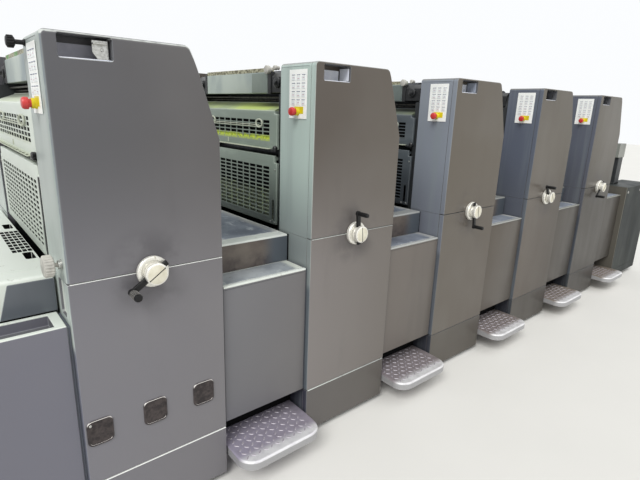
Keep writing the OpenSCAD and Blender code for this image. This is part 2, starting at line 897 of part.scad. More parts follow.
// Chains on which the pile boards hang, along the walls of both bays
module hoist_chains() {
    color("gray") in_place() {
        for (x = [-delivery_length + chain_inset, bay_end_x - chain_inset - chain_thickness],
             y = [riser_y + wall_thickness, drive_riser_y - wall_thickness - chain_width])
            translate([x, y, delivery_board_z])
                cube([chain_thickness, chain_width, delivery_top_z - chain_drop - delivery_board_z]);
        for (x = [feeder_x + chain_inset, feeder_end_x - chain_inset - chain_thickness],
             y = [cover_depth, feeder_far_y - chain_width])
            translate([x, y, feeder_board_z])
                cube([chain_thickness, chain_width, feeder_top_z - chain_drop - feeder_board_z]);
    }
}

bed();
levelling_feet();
side_frames();
printing_cylinders();
ink_rollers();
ink_ducts();
duct_brackets();
upper_side_covers();
lower_side_covers();
kick_panels();
rear_panels();
drive_upper_covers();
drive_lower_covers();
infill_panels();
unit_decks();
footboards();
button_panels();
stop_bases();
bearing_collars();
cover_plates();
delivery_block();
delivery_panels();
vented_deck();
delivery_walls();
delivery_hood();
delivery_roof();
feeder_cabinets();
feeder_columns();
feeder_head();
feed_board();
pile_boards();
hoist_chains();
handwheel(0);  // handwheel_1
handwheel(1);  // handwheel_2
handwheel(2);  // handwheel_3
handwheel(3);  // handwheel_4
handwheel(4);  // handwheel_5
upper_guard(0);  // upper_guard_1
upper_guard(1);  // upper_guard_2
upper_guard(2);  // upper_guard_3
upper_guard(3);  // upper_guard_4
upper_guard(4);  // upper_guard_5
lower_guard(0);  // lower_guard_1
lower_guard(1);  // lower_guard_2
lower_guard(2);  // lower_guard_3
lower_guard(3);  // lower_guard_4
lower_guard(4);  // lower_guard_5
stop_button(0);  // stop_button_1
stop_button(1);  // stop_button_2
stop_button(2);  // stop_button_3
stop_button(3);  // stop_button_4
stop_button(4);  // stop_button_5
side_knob();
latch_knob();
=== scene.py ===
import math

import bpy
from mathutils import Matrix, Vector


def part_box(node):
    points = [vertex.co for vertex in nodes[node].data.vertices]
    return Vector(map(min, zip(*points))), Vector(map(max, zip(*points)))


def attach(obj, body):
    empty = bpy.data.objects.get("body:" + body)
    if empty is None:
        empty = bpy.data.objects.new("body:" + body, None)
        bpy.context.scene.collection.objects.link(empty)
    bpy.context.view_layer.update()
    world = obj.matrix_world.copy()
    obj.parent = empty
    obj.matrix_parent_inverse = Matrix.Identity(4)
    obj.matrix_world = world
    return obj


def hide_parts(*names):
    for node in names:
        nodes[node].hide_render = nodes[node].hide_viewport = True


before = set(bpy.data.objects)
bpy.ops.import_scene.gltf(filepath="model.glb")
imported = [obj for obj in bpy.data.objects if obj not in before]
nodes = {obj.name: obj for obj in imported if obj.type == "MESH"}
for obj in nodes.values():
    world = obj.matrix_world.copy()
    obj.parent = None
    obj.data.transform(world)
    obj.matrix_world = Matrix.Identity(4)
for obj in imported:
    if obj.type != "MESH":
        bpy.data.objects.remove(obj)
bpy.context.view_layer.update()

# The press's own corner: left edge and front of the first unit's covers, on the floor.
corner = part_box("upper_side_covers")[0]

# Sizes in millimetres, counted from that corner, as in the part's source.
units = 5
pitch = 800
cover_width = 442
cover_top_width = 360
cover_depth = 200
cover_top = 1444
slope_start = 1195
seam = 832
kick_seam = 210
drive_side = 1000
press_depth = 1300
deck_top = 829
tread_top = 723
riser = 133
far_riser = 1167
delivery_end = -1650
bay_end = -890
feeder_start = 3976
feeder_end = 4528
wheel_x = 218
finger = (244, 258, 856, 940)
vent_slots = (-40, -16, 312, 744, 76)
press = "press"
edge_margin = 0.004


def at(x, y, z):
    return Vector((corner.x + x / 1000, corner.y + y / 1000, z / 1000))


def only(*pieces):
    bpy.ops.object.select_all(action="DESELECT")
    for piece in pieces:
        piece.select_set(True)
    bpy.context.view_layer.objects.active = pieces[0]


def settled(name):
    piece = bpy.context.object
    piece.name = piece.data.name = name
    bpy.ops.object.transform_apply(location=True, rotation=True, scale=True)
    return piece


def block(name, low, high):
    bpy.ops.object.select_all(action="DESELECT")
    first, last = at(*low), at(*high)
    bpy.ops.mesh.primitive_cube_add(size=1, location=(first + last) / 2, scale=last - first)
    return settled(name)


def rod(name, start, end, radius, sides=24):
    bpy.ops.object.select_all(action="DESELECT")
    first, last = at(*start), at(*end)
    turn = (last - first).to_track_quat("Z", "Y").to_euler()
    bpy.ops.mesh.primitive_cylinder_add(vertices=sides, radius=radius / 1000, depth=(last - first).length,
                                        location=(first + last) / 2, rotation=turn)
    piece = settled(name)
    bpy.ops.object.shade_smooth_by_angle(angle=math.radians(40))
    return piece


def turned(name, foot, direction, profile, sides=40):
    """Lathe work along a direction: the profile's pairs are distance from the foot and radius."""
    bpy.ops.object.select_all(action="DESELECT")
    direction = Vector(direction).normalized()
    distance, radius = profile[0]
    bpy.ops.mesh.primitive_circle_add(vertices=sides, radius=radius / 1000, fill_type="NGON",
                                      location=at(*foot) + direction * distance / 1000,
                                      rotation=direction.to_track_quat("Z", "Y").to_euler())
    piece = settled(name)
    bpy.ops.object.mode_set(mode="EDIT")
    bpy.ops.mesh.select_all(action="SELECT")
    for (near, width), (far, next_width) in zip(profile, profile[1:]):
        bpy.ops.mesh.extrude_region_move(
            TRANSFORM_OT_translate={"value": direction * (far - near) / 1000})
        if next_width != width:
            bpy.ops.transform.resize(value=[next_width / width] * 3,
                                     center_override=at(*foot) + direction * far / 1000)
    bpy.ops.mesh.select_all(action="SELECT")
    bpy.ops.mesh.normals_make_consistent(inside=False)
    bpy.ops.object.mode_set(mode="OBJECT")
    bpy.ops.object.shade_smooth_by_angle(angle=math.radians(35))
    return piece


def local(point):
    """A point of a mesh in millimetres from the press's corner."""
    return Vector(((point.x - corner.x) * 1000, (point.y - corner.y) * 1000, point.z * 1000))


def pick(piece, kind, test):
    """Opens a piece in edit mode with the faces or edges selected whose middle and direction pass."""
    only(piece)
    bpy.ops.object.mode_set(mode="EDIT")
    bpy.ops.mesh.select_mode(type=kind)
    bpy.ops.mesh.select_all(action="DESELECT")
    bpy.ops.object.mode_set(mode="OBJECT")
    mesh = piece.data
    if kind == "FACE":
        for face in mesh.polygons:
            face.select = test(local(face.center), face.normal)
    else:
        for edge in mesh.edges:
            first, last = (mesh.vertices[index].co for index in edge.vertices)
            edge.select = test(local((first + last) / 2), (last - first).normalized())
    bpy.ops.object.mode_set(mode="EDIT")


def done():
    bpy.ops.object.mode_set(mode="OBJECT")


def finished_by(piece, kind, **settings):
    only(piece)
    modifier = piece.modifiers.new(kind.lower(), kind)
    for key, value in settings.items():
        setattr(modifier, key, value)
    bpy.ops.object.modifier_apply(modifier=modifier.name)
    return piece


def eased(piece, width=2.0, segments=2, angle=30):
    """Breaks the sharp edges of a piece and keeps its flat faces flat."""
    finished_by(piece, "BEVEL", width=width / 1000, segments=segments, limit_method="ANGLE",
                angle_limit=math.radians(angle))
    only(piece)
    bpy.ops.object.shade_smooth()
    return finished_by(piece, "WEIGHTED_NORMAL", keep_sharp=True)


def rounded(piece, width, segments, test):
    pick(piece, "EDGE", test)
    bpy.ops.mesh.bevel(offset=width / 1000, segments=segments, affect="EDGES")
    done()
    return piece


def trimmed(piece, place, normal):
    only(piece)
    bpy.ops.object.mode_set(mode="EDIT")
    bpy.ops.mesh.select_all(action="SELECT")
    bpy.ops.mesh.bisect(plane_co=at(*place), plane_no=normal, use_fill=True, clear_outer=True)
    done()
    return piece


def cut(piece, *cutters):
    for cutter in cutters:
        finished_by(piece, "BOOLEAN", object=cutter, operation="DIFFERENCE", solver="EXACT")
        bpy.data.objects.remove(cutter)
    return piece


def joined(name, *pieces):
    only(*pieces)
    if len(pieces) > 1:
        bpy.ops.object.join()
    pieces[0].name = pieces[0].data.name = name
    return pieces[0]


def again(piece, name, x=0, y=0, z=0):
    other = piece.copy()
    other.data = piece.data.copy()
    other.name = other.data.name = name
    other.data.transform(Matrix.Translation((x / 1000, y / 1000, z / 1000)))
    bpy.context.collection.objects.link(other)
    return other


def spread(piece, count, x=0, y=0, z=0):
    """Repeats a piece within its own mesh at a fixed step."""
    return finished_by(piece, "ARRAY", count=count, use_relative_offset=False, use_constant_offset=True,
                       constant_offset_displace=(x / 1000, y / 1000, z / 1000))


def turned_about(piece, place, axis, degrees):
    piece.data.transform(Matrix.Translation(at(*place)) @ Matrix.Rotation(math.radians(degrees), 4, axis)
                         @ Matrix.Translation(-at(*place)))
    return piece


def fit(piece, material, body=press, stands_for=(), slot=None):
    """Gives a piece its finish, its body and the nodes that it stands for."""
    piece.data.materials.clear()
    piece.data.materials.append(material)
    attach(piece, body)
    if stands_for:
        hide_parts(*([stands_for] if isinstance(stands_for, str) else stands_for))
    return piece


# Camera at the photograph's viewing angle.
yaw, tilt, roll = (math.radians(angle) for angle in (40.46, 15.41, -2.006))
forward = Vector((math.sin(yaw) * math.cos(tilt), math.cos(yaw) * math.cos(tilt), -math.sin(tilt)))
level_right = Vector((math.cos(yaw), -math.sin(yaw), 0))
level_down = forward.cross(level_right)
right = math.cos(roll) * level_right + math.sin(roll) * level_down
down = -math.sin(roll) * level_right + math.cos(roll) * level_down
lens = bpy.data.cameras.new("camera")
lens.sensor_width = 36
lens.lens = 469.73 / 640 * 36
camera = bpy.data.objects.new("camera", lens)
bpy.context.collection.objects.link(camera)
camera.matrix_world = Matrix.Translation((-1.67756, -1.85544, 1.28656)) @ Matrix(
    (right, -down, -forward)).transposed().to_4x4()
bpy.context.scene.camera = camera


def tone(red, green, blue):
    """A colour as seen, 0 to 255, in the shader's linear values."""
    return tuple(((c / 255 + 0.055) / 1.055) ** 2.4 if c > 10 else c / 3294.6
                 for c in (red, green, blue)) + (1.0,)


class Finish:
    """A procedural finish built from the piece's own coordinates."""

    def __init__(self, name, **sockets):
        self.material = bpy.data.materials.new(name)
        self.material.use_nodes = True
        self.tree = self.material.node_tree
        self.shader = self.tree.nodes["Principled BSDF"]
        coordinates = self.add("ShaderNodeTexCoord")
        self.place = coordinates.outputs["Object"]
        self.normal = coordinates.outputs["Normal"]
        for name, value in sockets.items():
            self.set(name.replace("_", " ").title().replace("Ior", "IOR"), value)

    def add(self, kind, inputs=None, **settings):
        made = self.tree.nodes.new(kind)
        for key, value in settings.items():
            setattr(made, key, value)
        for key, value in (inputs or {}).items():
            if isinstance(value, bpy.types.NodeSocket):
                self.tree.links.new(value, made.inputs[key])
            else:
                made.inputs[key].default_value = value
        return made

    def set(self, name, value):
        if isinstance(value, bpy.types.NodeSocket):
            self.tree.links.new(value, self.shader.inputs[name])
        else:
            self.shader.inputs[name].default_value = value

    def axis(self, index, of=None):
        return self.add("ShaderNodeSeparateXYZ", {0: of or self.place}).outputs[index]

    def math(self, kind, first, second=0.0):
        return self.add("ShaderNodeMath", {0: first, 1: second}, operation=kind).outputs[0]

    def noise(self, scale, detail=4.0, stretch=(1, 1, 1), roughness=0.55):
        place = self.add("ShaderNodeMapping", {"Vector": self.place, "Scale": stretch}).outputs[0]
        return self.add("ShaderNodeTexNoise", {"Vector": place, "Scale": scale, "Detail": detail,
                                               "Roughness": roughness}).outputs[0]

    def between(self, value, low, high, start=0.0, end=1.0):
        return self.add("ShaderNodeMapRange", {0: value, 1: low, 2: high, 3: start, 4: end},
                        interpolation_type="SMOOTHSTEP").outputs[0]

    def mixed(self, factor, first, second):
        made = self.add("ShaderNodeMix", data_type="RGBA")
        for socket, value in zip([made.inputs[0], made.inputs[6], made.inputs[7]], (factor, first, second)):
            if isinstance(value, bpy.types.NodeSocket):
                self.tree.links.new(value, socket)
            else:
                socket.default_value = value
        return made.outputs[2]

    def along_tones(self, stops):
        """Tones set out along the row: 0 at the first unit, 1 at the fifth."""
        start = corner.x
        place = self.math("DIVIDE", self.math("SUBTRACT", self.axis(0), start), (units - 1) * pitch / 1000)
        made = self.add("ShaderNodeValToRGB", {0: place})
        elements = made.color_ramp.elements
        elements[0].position, elements[0].color = stops[0][0], tone(*stops[0][1])
        elements[1].position, elements[1].color = stops[-1][0], tone(*stops[-1][1])
        for position, colour in stops[1:-1]:
            elements.new(position).color = tone(*colour)
        return made.outputs[0]

    def bumped(self, height, distance, strength=0.5):
        self.set("Normal", self.add("ShaderNodeBump", {"Height": height, "Distance": distance,
                                                       "Strength": strength}).outputs[0])


def edge_mask(finish):
    """One on broken edges, where a face's direction lies between the machine's axes."""
    parts = [finish.math("ABSOLUTE", finish.axis(i, finish.normal)) for i in range(3)]
    most = finish.math("MAXIMUM", finish.math("MAXIMUM", parts[0], parts[1]), parts[2])
    return finish.between(finish.math("SUBTRACT", 1.0, most), 0.09, 0.22)


def rim_mask(finish):
    """One on broken edges round a top face."""
    upward = finish.math("ABSOLUTE", finish.axis(2, finish.normal))
    return finish.math("MULTIPLY", finish.between(upward, 0.12, 0.3), finish.between(upward, 0.99, 0.93))


def unit_place(finish):
    """Place along a unit's pitch: 0 at its left edge, 1 at the next unit's."""
    along = finish.math("ADD", finish.math("SUBTRACT", finish.axis(0), corner.x), edge_margin)
    return finish.math("FRACT", finish.math("DIVIDE", along, pitch / 1000))


def side_mask(finish):
    """One on the units' own sides that look towards the delivery."""
    near = finish.between(unit_place(finish), 0.022, 0.018)
    return finish.math("MULTIPLY", near, finish.between(finish.axis(0, finish.normal), -0.3, -0.9))


def front_mask(finish):
    """One on faces that look towards the operator."""
    return finish.between(finish.axis(1, finish.normal), -0.3, -0.85)


def hand_mask(finish):
    """One round each handwheel, where hands leave grime."""
    across = finish.math("SUBTRACT", unit_place(finish), wheel_x / pitch)
    up = finish.math("DIVIDE", finish.math("SUBTRACT", finish.axis(2), seam / 1000), pitch / 1000)
    offset = finish.add("ShaderNodeCombineXYZ", {0: across, 1: up}).outputs[0]
    distance = finish.add("ShaderNodeVectorMath", {0: offset}, operation="LENGTH").outputs["Value"]
    patches = finish.between(finish.noise(11, 4), 0.38, 0.62, 0.0, 0.4)
    return finish.math("MULTIPLY", finish.between(distance, 0.19, 0.07), patches)


def painted(name, colour, second, roughness=0.4, coat=0.0, grime=0.5, wear=(178, 180, 178), worn=0.5, gloss=0.5,
            side=None):
    """Sprayed sheet metal: two close tones, edges painted lighter for wear and as a painted highlight, wiped smears and
    dirt, and, when a side tone is given, that tone on faces towards the delivery as painted light.
    """
    paint = Finish(name, coat_weight=coat, coat_roughness=0.16, specular_ior_level=gloss)
    cloud = paint.noise(2.3, 3)
    fine = paint.noise(38, 5)
    smear = paint.noise(7, 5, (1, 1, 0.18))
    base = paint.mixed(paint.between(cloud, 0.32, 0.68), tone(*colour), tone(*second))
    # Faces that look towards the delivery take the side tone: painted light.
    if side:
        base = paint.mixed(paint.between(paint.axis(0, paint.normal), -0.3, -0.9), base, tone(*side))
    dark = tuple(c * 0.52 for c in tone(*colour)[:3]) + (1.0,)
    dirt = paint.math("MULTIPLY", paint.between(smear, 0.54, 0.78), grime)
    base = paint.mixed(dirt, base, dark)
    # Edges painted lighter: partly wear, partly a painted highlight.
    wear_and_highlight = paint.math("MULTIPLY", edge_mask(paint), paint.between(fine, 0.25, 0.6, worn * 0.4, worn))
    paint.set("Base Color", paint.mixed(wear_and_highlight, base, tone(*wear)))
    paint.set("Roughness", paint.between(smear, 0.2, 0.8, roughness - 0.08, roughness + 0.1))
    paint.bumped(paint.noise(520, 2), 0.0004, 0.12)
    return paint.material


def row_paint(name, high, low, kick, side_high, side_low, side_foot, side_kick, worn, upright, coat=0.12,
              floor=0.66, top=1.22):
    """Paint with painted light and shade: the front tone drifts along the row and down the press as painted reflection
    and shade, the sides that face the delivery are paler as painted light, and the edges are painted lighter for wear
    and as a painted highlight.
    """
    paint = Finish(name, coat_weight=coat, coat_roughness=0.16, specular_ior_level=0.32)
    height = paint.axis(2)
    cloud = paint.noise(1.7, 3)
    smear = paint.noise(6, 5, (1, 1, 0.2))
    fine = paint.noise(40, 5)
    # Front tones by height and along the row, darker near the floor: painted reflection and shade.
    fall = paint.between(height, top, floor)
    front = paint.mixed(fall, paint.along_tones(high), paint.along_tones(low))
    near_floor = paint.between(height, 0.214, 0.208)
    front = paint.mixed(near_floor, front, paint.along_tones(kick))
    base = paint.mixed(front_mask(paint), tone(98, 99, 103), front)
    base = paint.mixed(paint.math("MULTIPLY", paint.between(smear, 0.58, 0.85), 0.28), base, tone(72, 68, 66))
    base = paint.mixed(hand_mask(paint), base, tone(52, 50, 56))
    base = paint.mixed(paint.between(cloud, 0.4, 0.75, 0.0, 0.14), base, tone(132, 130, 128))
    # Paler sides towards the delivery, with lighter streaks: painted light.
    pale = paint.mixed(paint.between(height, 1.15, 0.75), paint.along_tones(side_high), paint.along_tones(side_low))
    pale = paint.mixed(paint.between(height, 0.665, 0.63), pale, paint.along_tones(side_foot))
    pale = paint.mixed(near_floor, pale, paint.along_tones(side_kick))
    streak = paint.noise(9, 5, (1, 3, 0.12))
    pale = paint.mixed(paint.between(streak, 0.45, 0.75, 0.0, 0.3), pale, tone(132, 142, 142))
    base = paint.mixed(side_mask(paint), base, pale)
    # Edges painted lighter for wear and as a painted highlight; the first unit's upright edges are toned darker as
    # painted shade.
    wear_and_highlight = paint.math("MULTIPLY", edge_mask(paint), paint.between(fine, 0.2, 0.6, 0.3, 0.85))
    wear_and_highlight = paint.math("MULTIPLY", wear_and_highlight, paint.between(height, 0.62, 0.74, 0.35, 1.0))
    tilted = paint.between(paint.math("ABSOLUTE", paint.axis(2, paint.normal)), 0.08, 0.25)
    wear = paint.mixed(tilted, paint.along_tones(upright), paint.along_tones(worn))
    paint.set("Base Color", paint.mixed(wear_and_highlight, base, wear))
    paint.set("Roughness", paint.between(smear, 0.2, 0.8, 0.34, 0.5))
    paint.bumped(paint.noise(520, 2), 0.0004, 0.1)
    return paint.material


def metal(name, colour, second, roughness, stretch=(1, 1, 1), scale=60, metallic=1.0, stain=None, stained=0.0):
    """Bare or plated metal with a grain, and stains where it has them."""
    plate = Finish(name, metallic=metallic)
    grain = plate.noise(scale, 4, stretch)
    base = plate.mixed(plate.between(grain, 0.3, 0.7), tone(*colour), tone(*second))
    if stain:
        patches = plate.between(plate.noise(9, 6), 0.5, 0.66, 0.0, stained)
        base = plate.mixed(patches, base, tone(*stain))
    plate.set("Base Color", base)
    plate.set("Roughness", plate.between(grain, 0.25, 0.75, roughness - 0.06, roughness + 0.1))
    plate.bumped(grain, 0.0005, 0.15)
    return plate.material


def moulded(name, colour, second, roughness=0.45, scale=30, bump=0.0004, grain=300, gloss=0.5):
    """Plastic, rubber or enamel with slight clouding and a fine skin."""
    plastic = Finish(name, specular_ior_level=gloss)
    cloud = plastic.noise(scale, 4)
    plastic.set("Base Color", plastic.mixed(plastic.between(cloud, 0.35, 0.7), tone(*colour), tone(*second)))
    plastic.set("Roughness", plastic.between(cloud, 0.3, 0.7, roughness - 0.05, roughness + 0.1))
    plastic.bumped(plastic.noise(grain, 3), bump, 0.3)
    return plastic.material


def tread_finish(name, colour, second, bright, dirt, rim=(214, 214, 206), worn_end=0.0):
    """A stepped-on plate: scuffs, bright worn patches and ground-in dirt, with the edges round its top painted lighter
    for wear and as a painted highlight.
    """
    plate = Finish(name, metallic=0.25)
    broad = plate.noise(5, 6)
    scuffs = plate.noise(26, 6, (1, 0.35, 1), 0.65)
    base = plate.mixed(plate.between(broad, 0.35, 0.65), tone(*colour), tone(*second))
    base = plate.mixed(plate.between(scuffs, 0.55, 0.72, 0.0, 0.75), base, tone(*bright))
    base = plate.mixed(plate.between(plate.noise(60, 5), 0.6, 0.75, 0.0, 0.6), base, tone(*dirt))
    if worn_end:
        end = plate.math("MULTIPLY", plate.between(unit_place(plate), 0.93, 0.975), plate.between(scuffs, 0.3, 0.5))
        base = plate.mixed(plate.math("MULTIPLY", end, worn_end), base, tone(*rim))
    # Top edges painted lighter: wear and a painted highlight.
    wear_and_highlight = plate.math("MULTIPLY", rim_mask(plate), plate.between(scuffs, 0.3, 0.6, 0.4, 0.9))
    plate.set("Base Color", plate.mixed(wear_and_highlight, base, tone(*rim)))
    plate.set("Roughness", plate.between(scuffs, 0.3, 0.7, 0.42, 0.62))
    plate.bumped(scuffs, 0.0006, 0.3)
    return plate.material


def riser_finish():
    """Scuffed risers: brown grime, darkest low down, and a cleaner grey end."""
    plate = Finish("riser_scuffed", metallic=0.2)
    blotch = plate.noise(9, 5, (1, 1, 1.4))
    base = plate.mixed(plate.between(blotch, 0.3, 0.7), tone(86, 77, 73), tone(112, 104, 96))
    low = plate.math("MULTIPLY", plate.between(plate.axis(2), 0.8, 0.73),
                     plate.between(plate.noise(26, 6, roughness=0.62), 0.4, 0.64, 0.0, 0.75))
    base = plate.mixed(low, base, tone(58, 50, 52))
    base = plate.mixed(plate.between(unit_place(plate), 0.84, 0.93), base, tone(84, 91, 99))
    plate.set("Base Color", base)
    plate.set("Roughness", plate.between(blotch, 0.3, 0.7, 0.36, 0.56))
    plate.bumped(blotch, 0.0006, 0.25)
    return plate.material


def footboard_finish():
    """Galvanised footboards, bright along their front edge from wear and a painted highlight, browner towards the
    feeder.
    """
    plate = Finish("footboard_plate", metallic=0.3)
    scuffs = plate.noise(30, 6, roughness=0.65)
    base = plate.along_tones([(0.15, (162, 156, 174)), (0.4, (146, 138, 142)), (1, (132, 122, 112))])
    base = plate.mixed(plate.between(scuffs, 0.4, 0.7, 0.0, 0.6), base,
                       plate.along_tones([(0.15, (134, 127, 142)), (0.4, (118, 110, 112)), (1, (106, 96, 86))]))
    # Bright band near the front edge: worn metal with a painted highlight.
    forward_edge = plate.math("SUBTRACT", plate.axis(1), corner.y)
    front = plate.math("MULTIPLY", plate.between(forward_edge, -0.058, -0.1), plate.between(scuffs, 0.25, 0.6, 0.7, 1.0))
    base = plate.mixed(front, base, tone(222, 222, 224))
    side = plate.between(plate.math("ABSOLUTE", plate.axis(2, plate.normal)), 0.25, 0.1)
    base = plate.mixed(plate.math("MULTIPLY", side, 0.9), base, tone(160, 160, 162))
    plate.set("Base Color", base)
    plate.set("Roughness", plate.between(scuffs, 0.3, 0.7, 0.36, 0.55))
    plate.bumped(scuffs, 0.0006, 0.3)
    return plate.material


def blanking_finish():
    """Dark blanking plates: blotched enamel with a painted highlight along the rims' upper edges."""
    plate = Finish("blanking_plate", specular_ior_level=0.3)
    blotch = plate.noise(62, 5, roughness=0.65)
    base = plate.mixed(plate.between(blotch, 0.36, 0.66), tone(44, 39, 40), tone(70, 63, 62))
    # Upward-facing rims painted bright: painted highlight.
    rim = plate.math("MULTIPLY", edge_mask(plate), plate.between(plate.axis(2, plate.normal), 0.1, 0.6))
    plate.set("Base Color", plate.mixed(rim, base, tone(222, 218, 214)))
    plate.set("Roughness", plate.between(blotch, 0.3, 0.7, 0.28, 0.46))
    plate.bumped(blotch, 0.0008, 0.3)
    return plate.material


def grille_shade():
    """Painted shade behind the guards' slots, with painted light on ink-specked steel low in the second unit."""
    plate = Finish("grille_shade", roughness=0.8, specular_ior_level=0.1)
    specks = plate.noise(150, 4, roughness=0.7)
    # Lit tones for the steel behind the second unit's lower slots: painted light.
    lit = plate.mixed(plate.between(specks, 0.4, 0.6), tone(122, 130, 120), tone(192, 200, 172))
    second = plate.along_tones([(0.23, (255, 255, 255)), (0.27, (0, 0, 0))])
    low = plate.math("MULTIPLY", plate.between(plate.axis(2), 0.975, 0.95), plate.between(plate.axis(0), corner.x + 0.7, corner.x + 0.75))
    plate.set("Base Color", plate.mixed(plate.math("MULTIPLY", low, second), tone(9, 9, 10), lit))
    return plate.material


def guard_paint():
    """Grey-green guards with painted light and shade: nearly white at the delivery and darker along the row, shaded
    lower down with lighter bars between the slots, and shadowed under the ducts; dried ink on the second unit's.
    """
    paint = Finish("guard_paint", coat_weight=0.15, coat_roughness=0.3)
    height = paint.axis(2)
    cloud = paint.noise(6, 4)
    smear = paint.noise(16, 6, (1, 0.4, 1))
    # Tones along the row, nearly white at the delivery and darker towards the feeder: painted light and shade.
    base = paint.along_tones([(0.02, (214, 222, 212)), (0.23, (140, 152, 142)), (0.5, (84, 91, 96)), (1, (72, 79, 84))])
    worn = paint.along_tones([(0.02, (222, 228, 218)), (0.23, (182, 194, 182)), (0.5, (108, 114, 118)), (1, (98, 104, 108))])
    base = paint.mixed(paint.between(smear, 0.5, 0.8, 0.0, 0.5), base, worn)
    # Darker lower down: painted shade.
    lower = paint.math("MULTIPLY", paint.between(height, 1.13, 0.88), paint.between(cloud, 0.2, 0.8, 0.75, 1.0))
    slotted = paint.between(paint.axis(1), corner.y + 0.272, corner.y + 0.28)
    # Bars between the lower slots kept lighter: painted light.
    lit_slot_bars = paint.math("MULTIPLY", slotted, paint.between(height, 0.862, 0.874))
    lower = paint.math("MULTIPLY", lower, paint.math("SUBTRACT", 1.0, paint.math("MULTIPLY", lit_slot_bars, 0.6)))
    base = paint.mixed(lower, base, paint.along_tones(
        [(0.02, (186, 194, 185)), (0.23, (58, 65, 62)), (0.5, (46, 50, 55)), (1, (50, 54, 56))]))
    haze = paint.math("MULTIPLY", paint.between(height, 1.276, 1.284),
                      paint.between(paint.noise(5, 4), 0.34, 0.6, 0.35, 1.0))
    base = paint.mixed(haze, base, paint.along_tones(
        [(0.02, (212, 220, 196)), (0.23, (196, 214, 118)), (0.5, (112, 120, 100)), (1, (100, 104, 92))]))
    drips = paint.math("MULTIPLY", paint.between(height, 1.162, 1.168), paint.between(height, 1.190, 1.184))
    drips = paint.math("MULTIPLY", paint.math("MULTIPLY", drips, slotted), paint.between(
        paint.noise(60, 4, (1, 1, 0.5)), 0.38, 0.5))
    specks = paint.math("MULTIPLY", paint.between(height, 1.0, 0.96), paint.between(height, 0.87, 0.89))
    specks = paint.math("MULTIPLY", paint.math("MULTIPLY", specks, slotted), paint.between(
        paint.noise(130, 3), 0.5, 0.66, 0.0, 0.4))
    base = paint.mixed(paint.math("MAXIMUM", drips, specks), base, paint.along_tones(
        [(0.02, (200, 208, 190)), (0.23, (196, 214, 92)), (0.4, (84, 91, 92)), (1, (66, 72, 76))]))
    # Dark band at the top of the slope, under the duct brackets: painted shadow.
    behind = paint.math("MULTIPLY", paint.between(height, 1.288, 1.3),
                        paint.between(paint.axis(1), corner.y + 0.5, corner.y + 0.33, 0.55, 0.92))
    base = paint.mixed(behind, base, tone(34, 36, 34))
    # Edges painted lighter: wear and a painted highlight.
    wear_and_highlight = paint.math("MULTIPLY", edge_mask(paint), 0.6)
    paint.set("Base Color", paint.mixed(wear_and_highlight, base, worn))
    paint.set("Roughness", paint.between(smear, 0.3, 0.7, 0.36, 0.52))
    paint.bumped(paint.noise(420, 2), 0.0004, 0.12)
    return paint.material


def deck_paint():
    """Pale decks, lightest at the delivery and greyer towards the feeder as painted light and shade, with smears, dirt,
    edges painted lighter for wear and as a painted highlight, and painted shade in the vent grid's holes.
    """
    paint = Finish("deck_paint", coat_weight=0.12, coat_roughness=0.25)
    smear = paint.noise(7, 5, (1, 0.5, 1))
    # Tones along the row: painted light and shade.
    base = paint.along_tones([(0, (220, 226, 218)), (0.1, (220, 226, 218)), (0.25, (222, 227, 222)), (0.4, (172, 175, 174)),
                              (1, (132, 134, 128))])
    base = paint.mixed(paint.between(smear, 0.5, 0.8, 0.0, 0.45), base, paint.along_tones(
        [(0, (196, 204, 198)), (0.14, (178, 184, 184)), (0.4, (124, 127, 130)), (1, (98, 98, 94))]))
    base = paint.mixed(paint.between(paint.noise(44, 6), 0.62, 0.74, 0.0, 0.5), base, tone(120, 112, 100))
    wear_and_highlight = paint.math("MULTIPLY", edge_mask(paint), 0.6)
    base = paint.mixed(wear_and_highlight, base, paint.along_tones([(0, (228, 232, 226)), (1, (170, 170, 162))]))
    # Near black below the top inside the vent grid's holes: painted shade.
    grid_shade = paint.between(paint.axis(2), (deck_top - 1) / 1000, (deck_top - 1.6) / 1000)
    for axis, start, end in ((0, corner.x - 0.0646, corner.x - 0.0092), (1, corner.y + 0.3985, corner.y + 0.702)):
        inside = paint.math("COMPARE", paint.axis(axis), (start + end) / 2)
        inside.node.inputs[2].default_value = (end - start) / 2
        grid_shade = paint.math("MULTIPLY", grid_shade, inside)
    paint.set("Base Color", paint.mixed(grid_shade, base, tone(12, 12, 13)))
    paint.set("Roughness", paint.between(smear, 0.3, 0.7, 0.38, 0.54))
    paint.bumped(paint.noise(420, 2), 0.0004, 0.12)
    return paint.material


def plank_wood():
    wood = Finish("plank_wood")
    grain = wood.noise(14, 6, (0.12, 2.4, 2.4), 0.6)
    fibre = wood.noise(90, 4, (0.06, 2, 2))
    base = wood.mixed(wood.between(grain, 0.35, 0.68), tone(186, 152, 108), tone(140, 104, 68))
    base = wood.mixed(wood.between(fibre, 0.5, 0.8, 0.0, 0.5), base, tone(108, 78, 52))
    wood.set("Base Color", base)
    wood.set("Roughness", wood.between(fibre, 0.3, 0.7, 0.6, 0.8))
    wood.bumped(fibre, 0.0008, 0.4)
    return wood.material


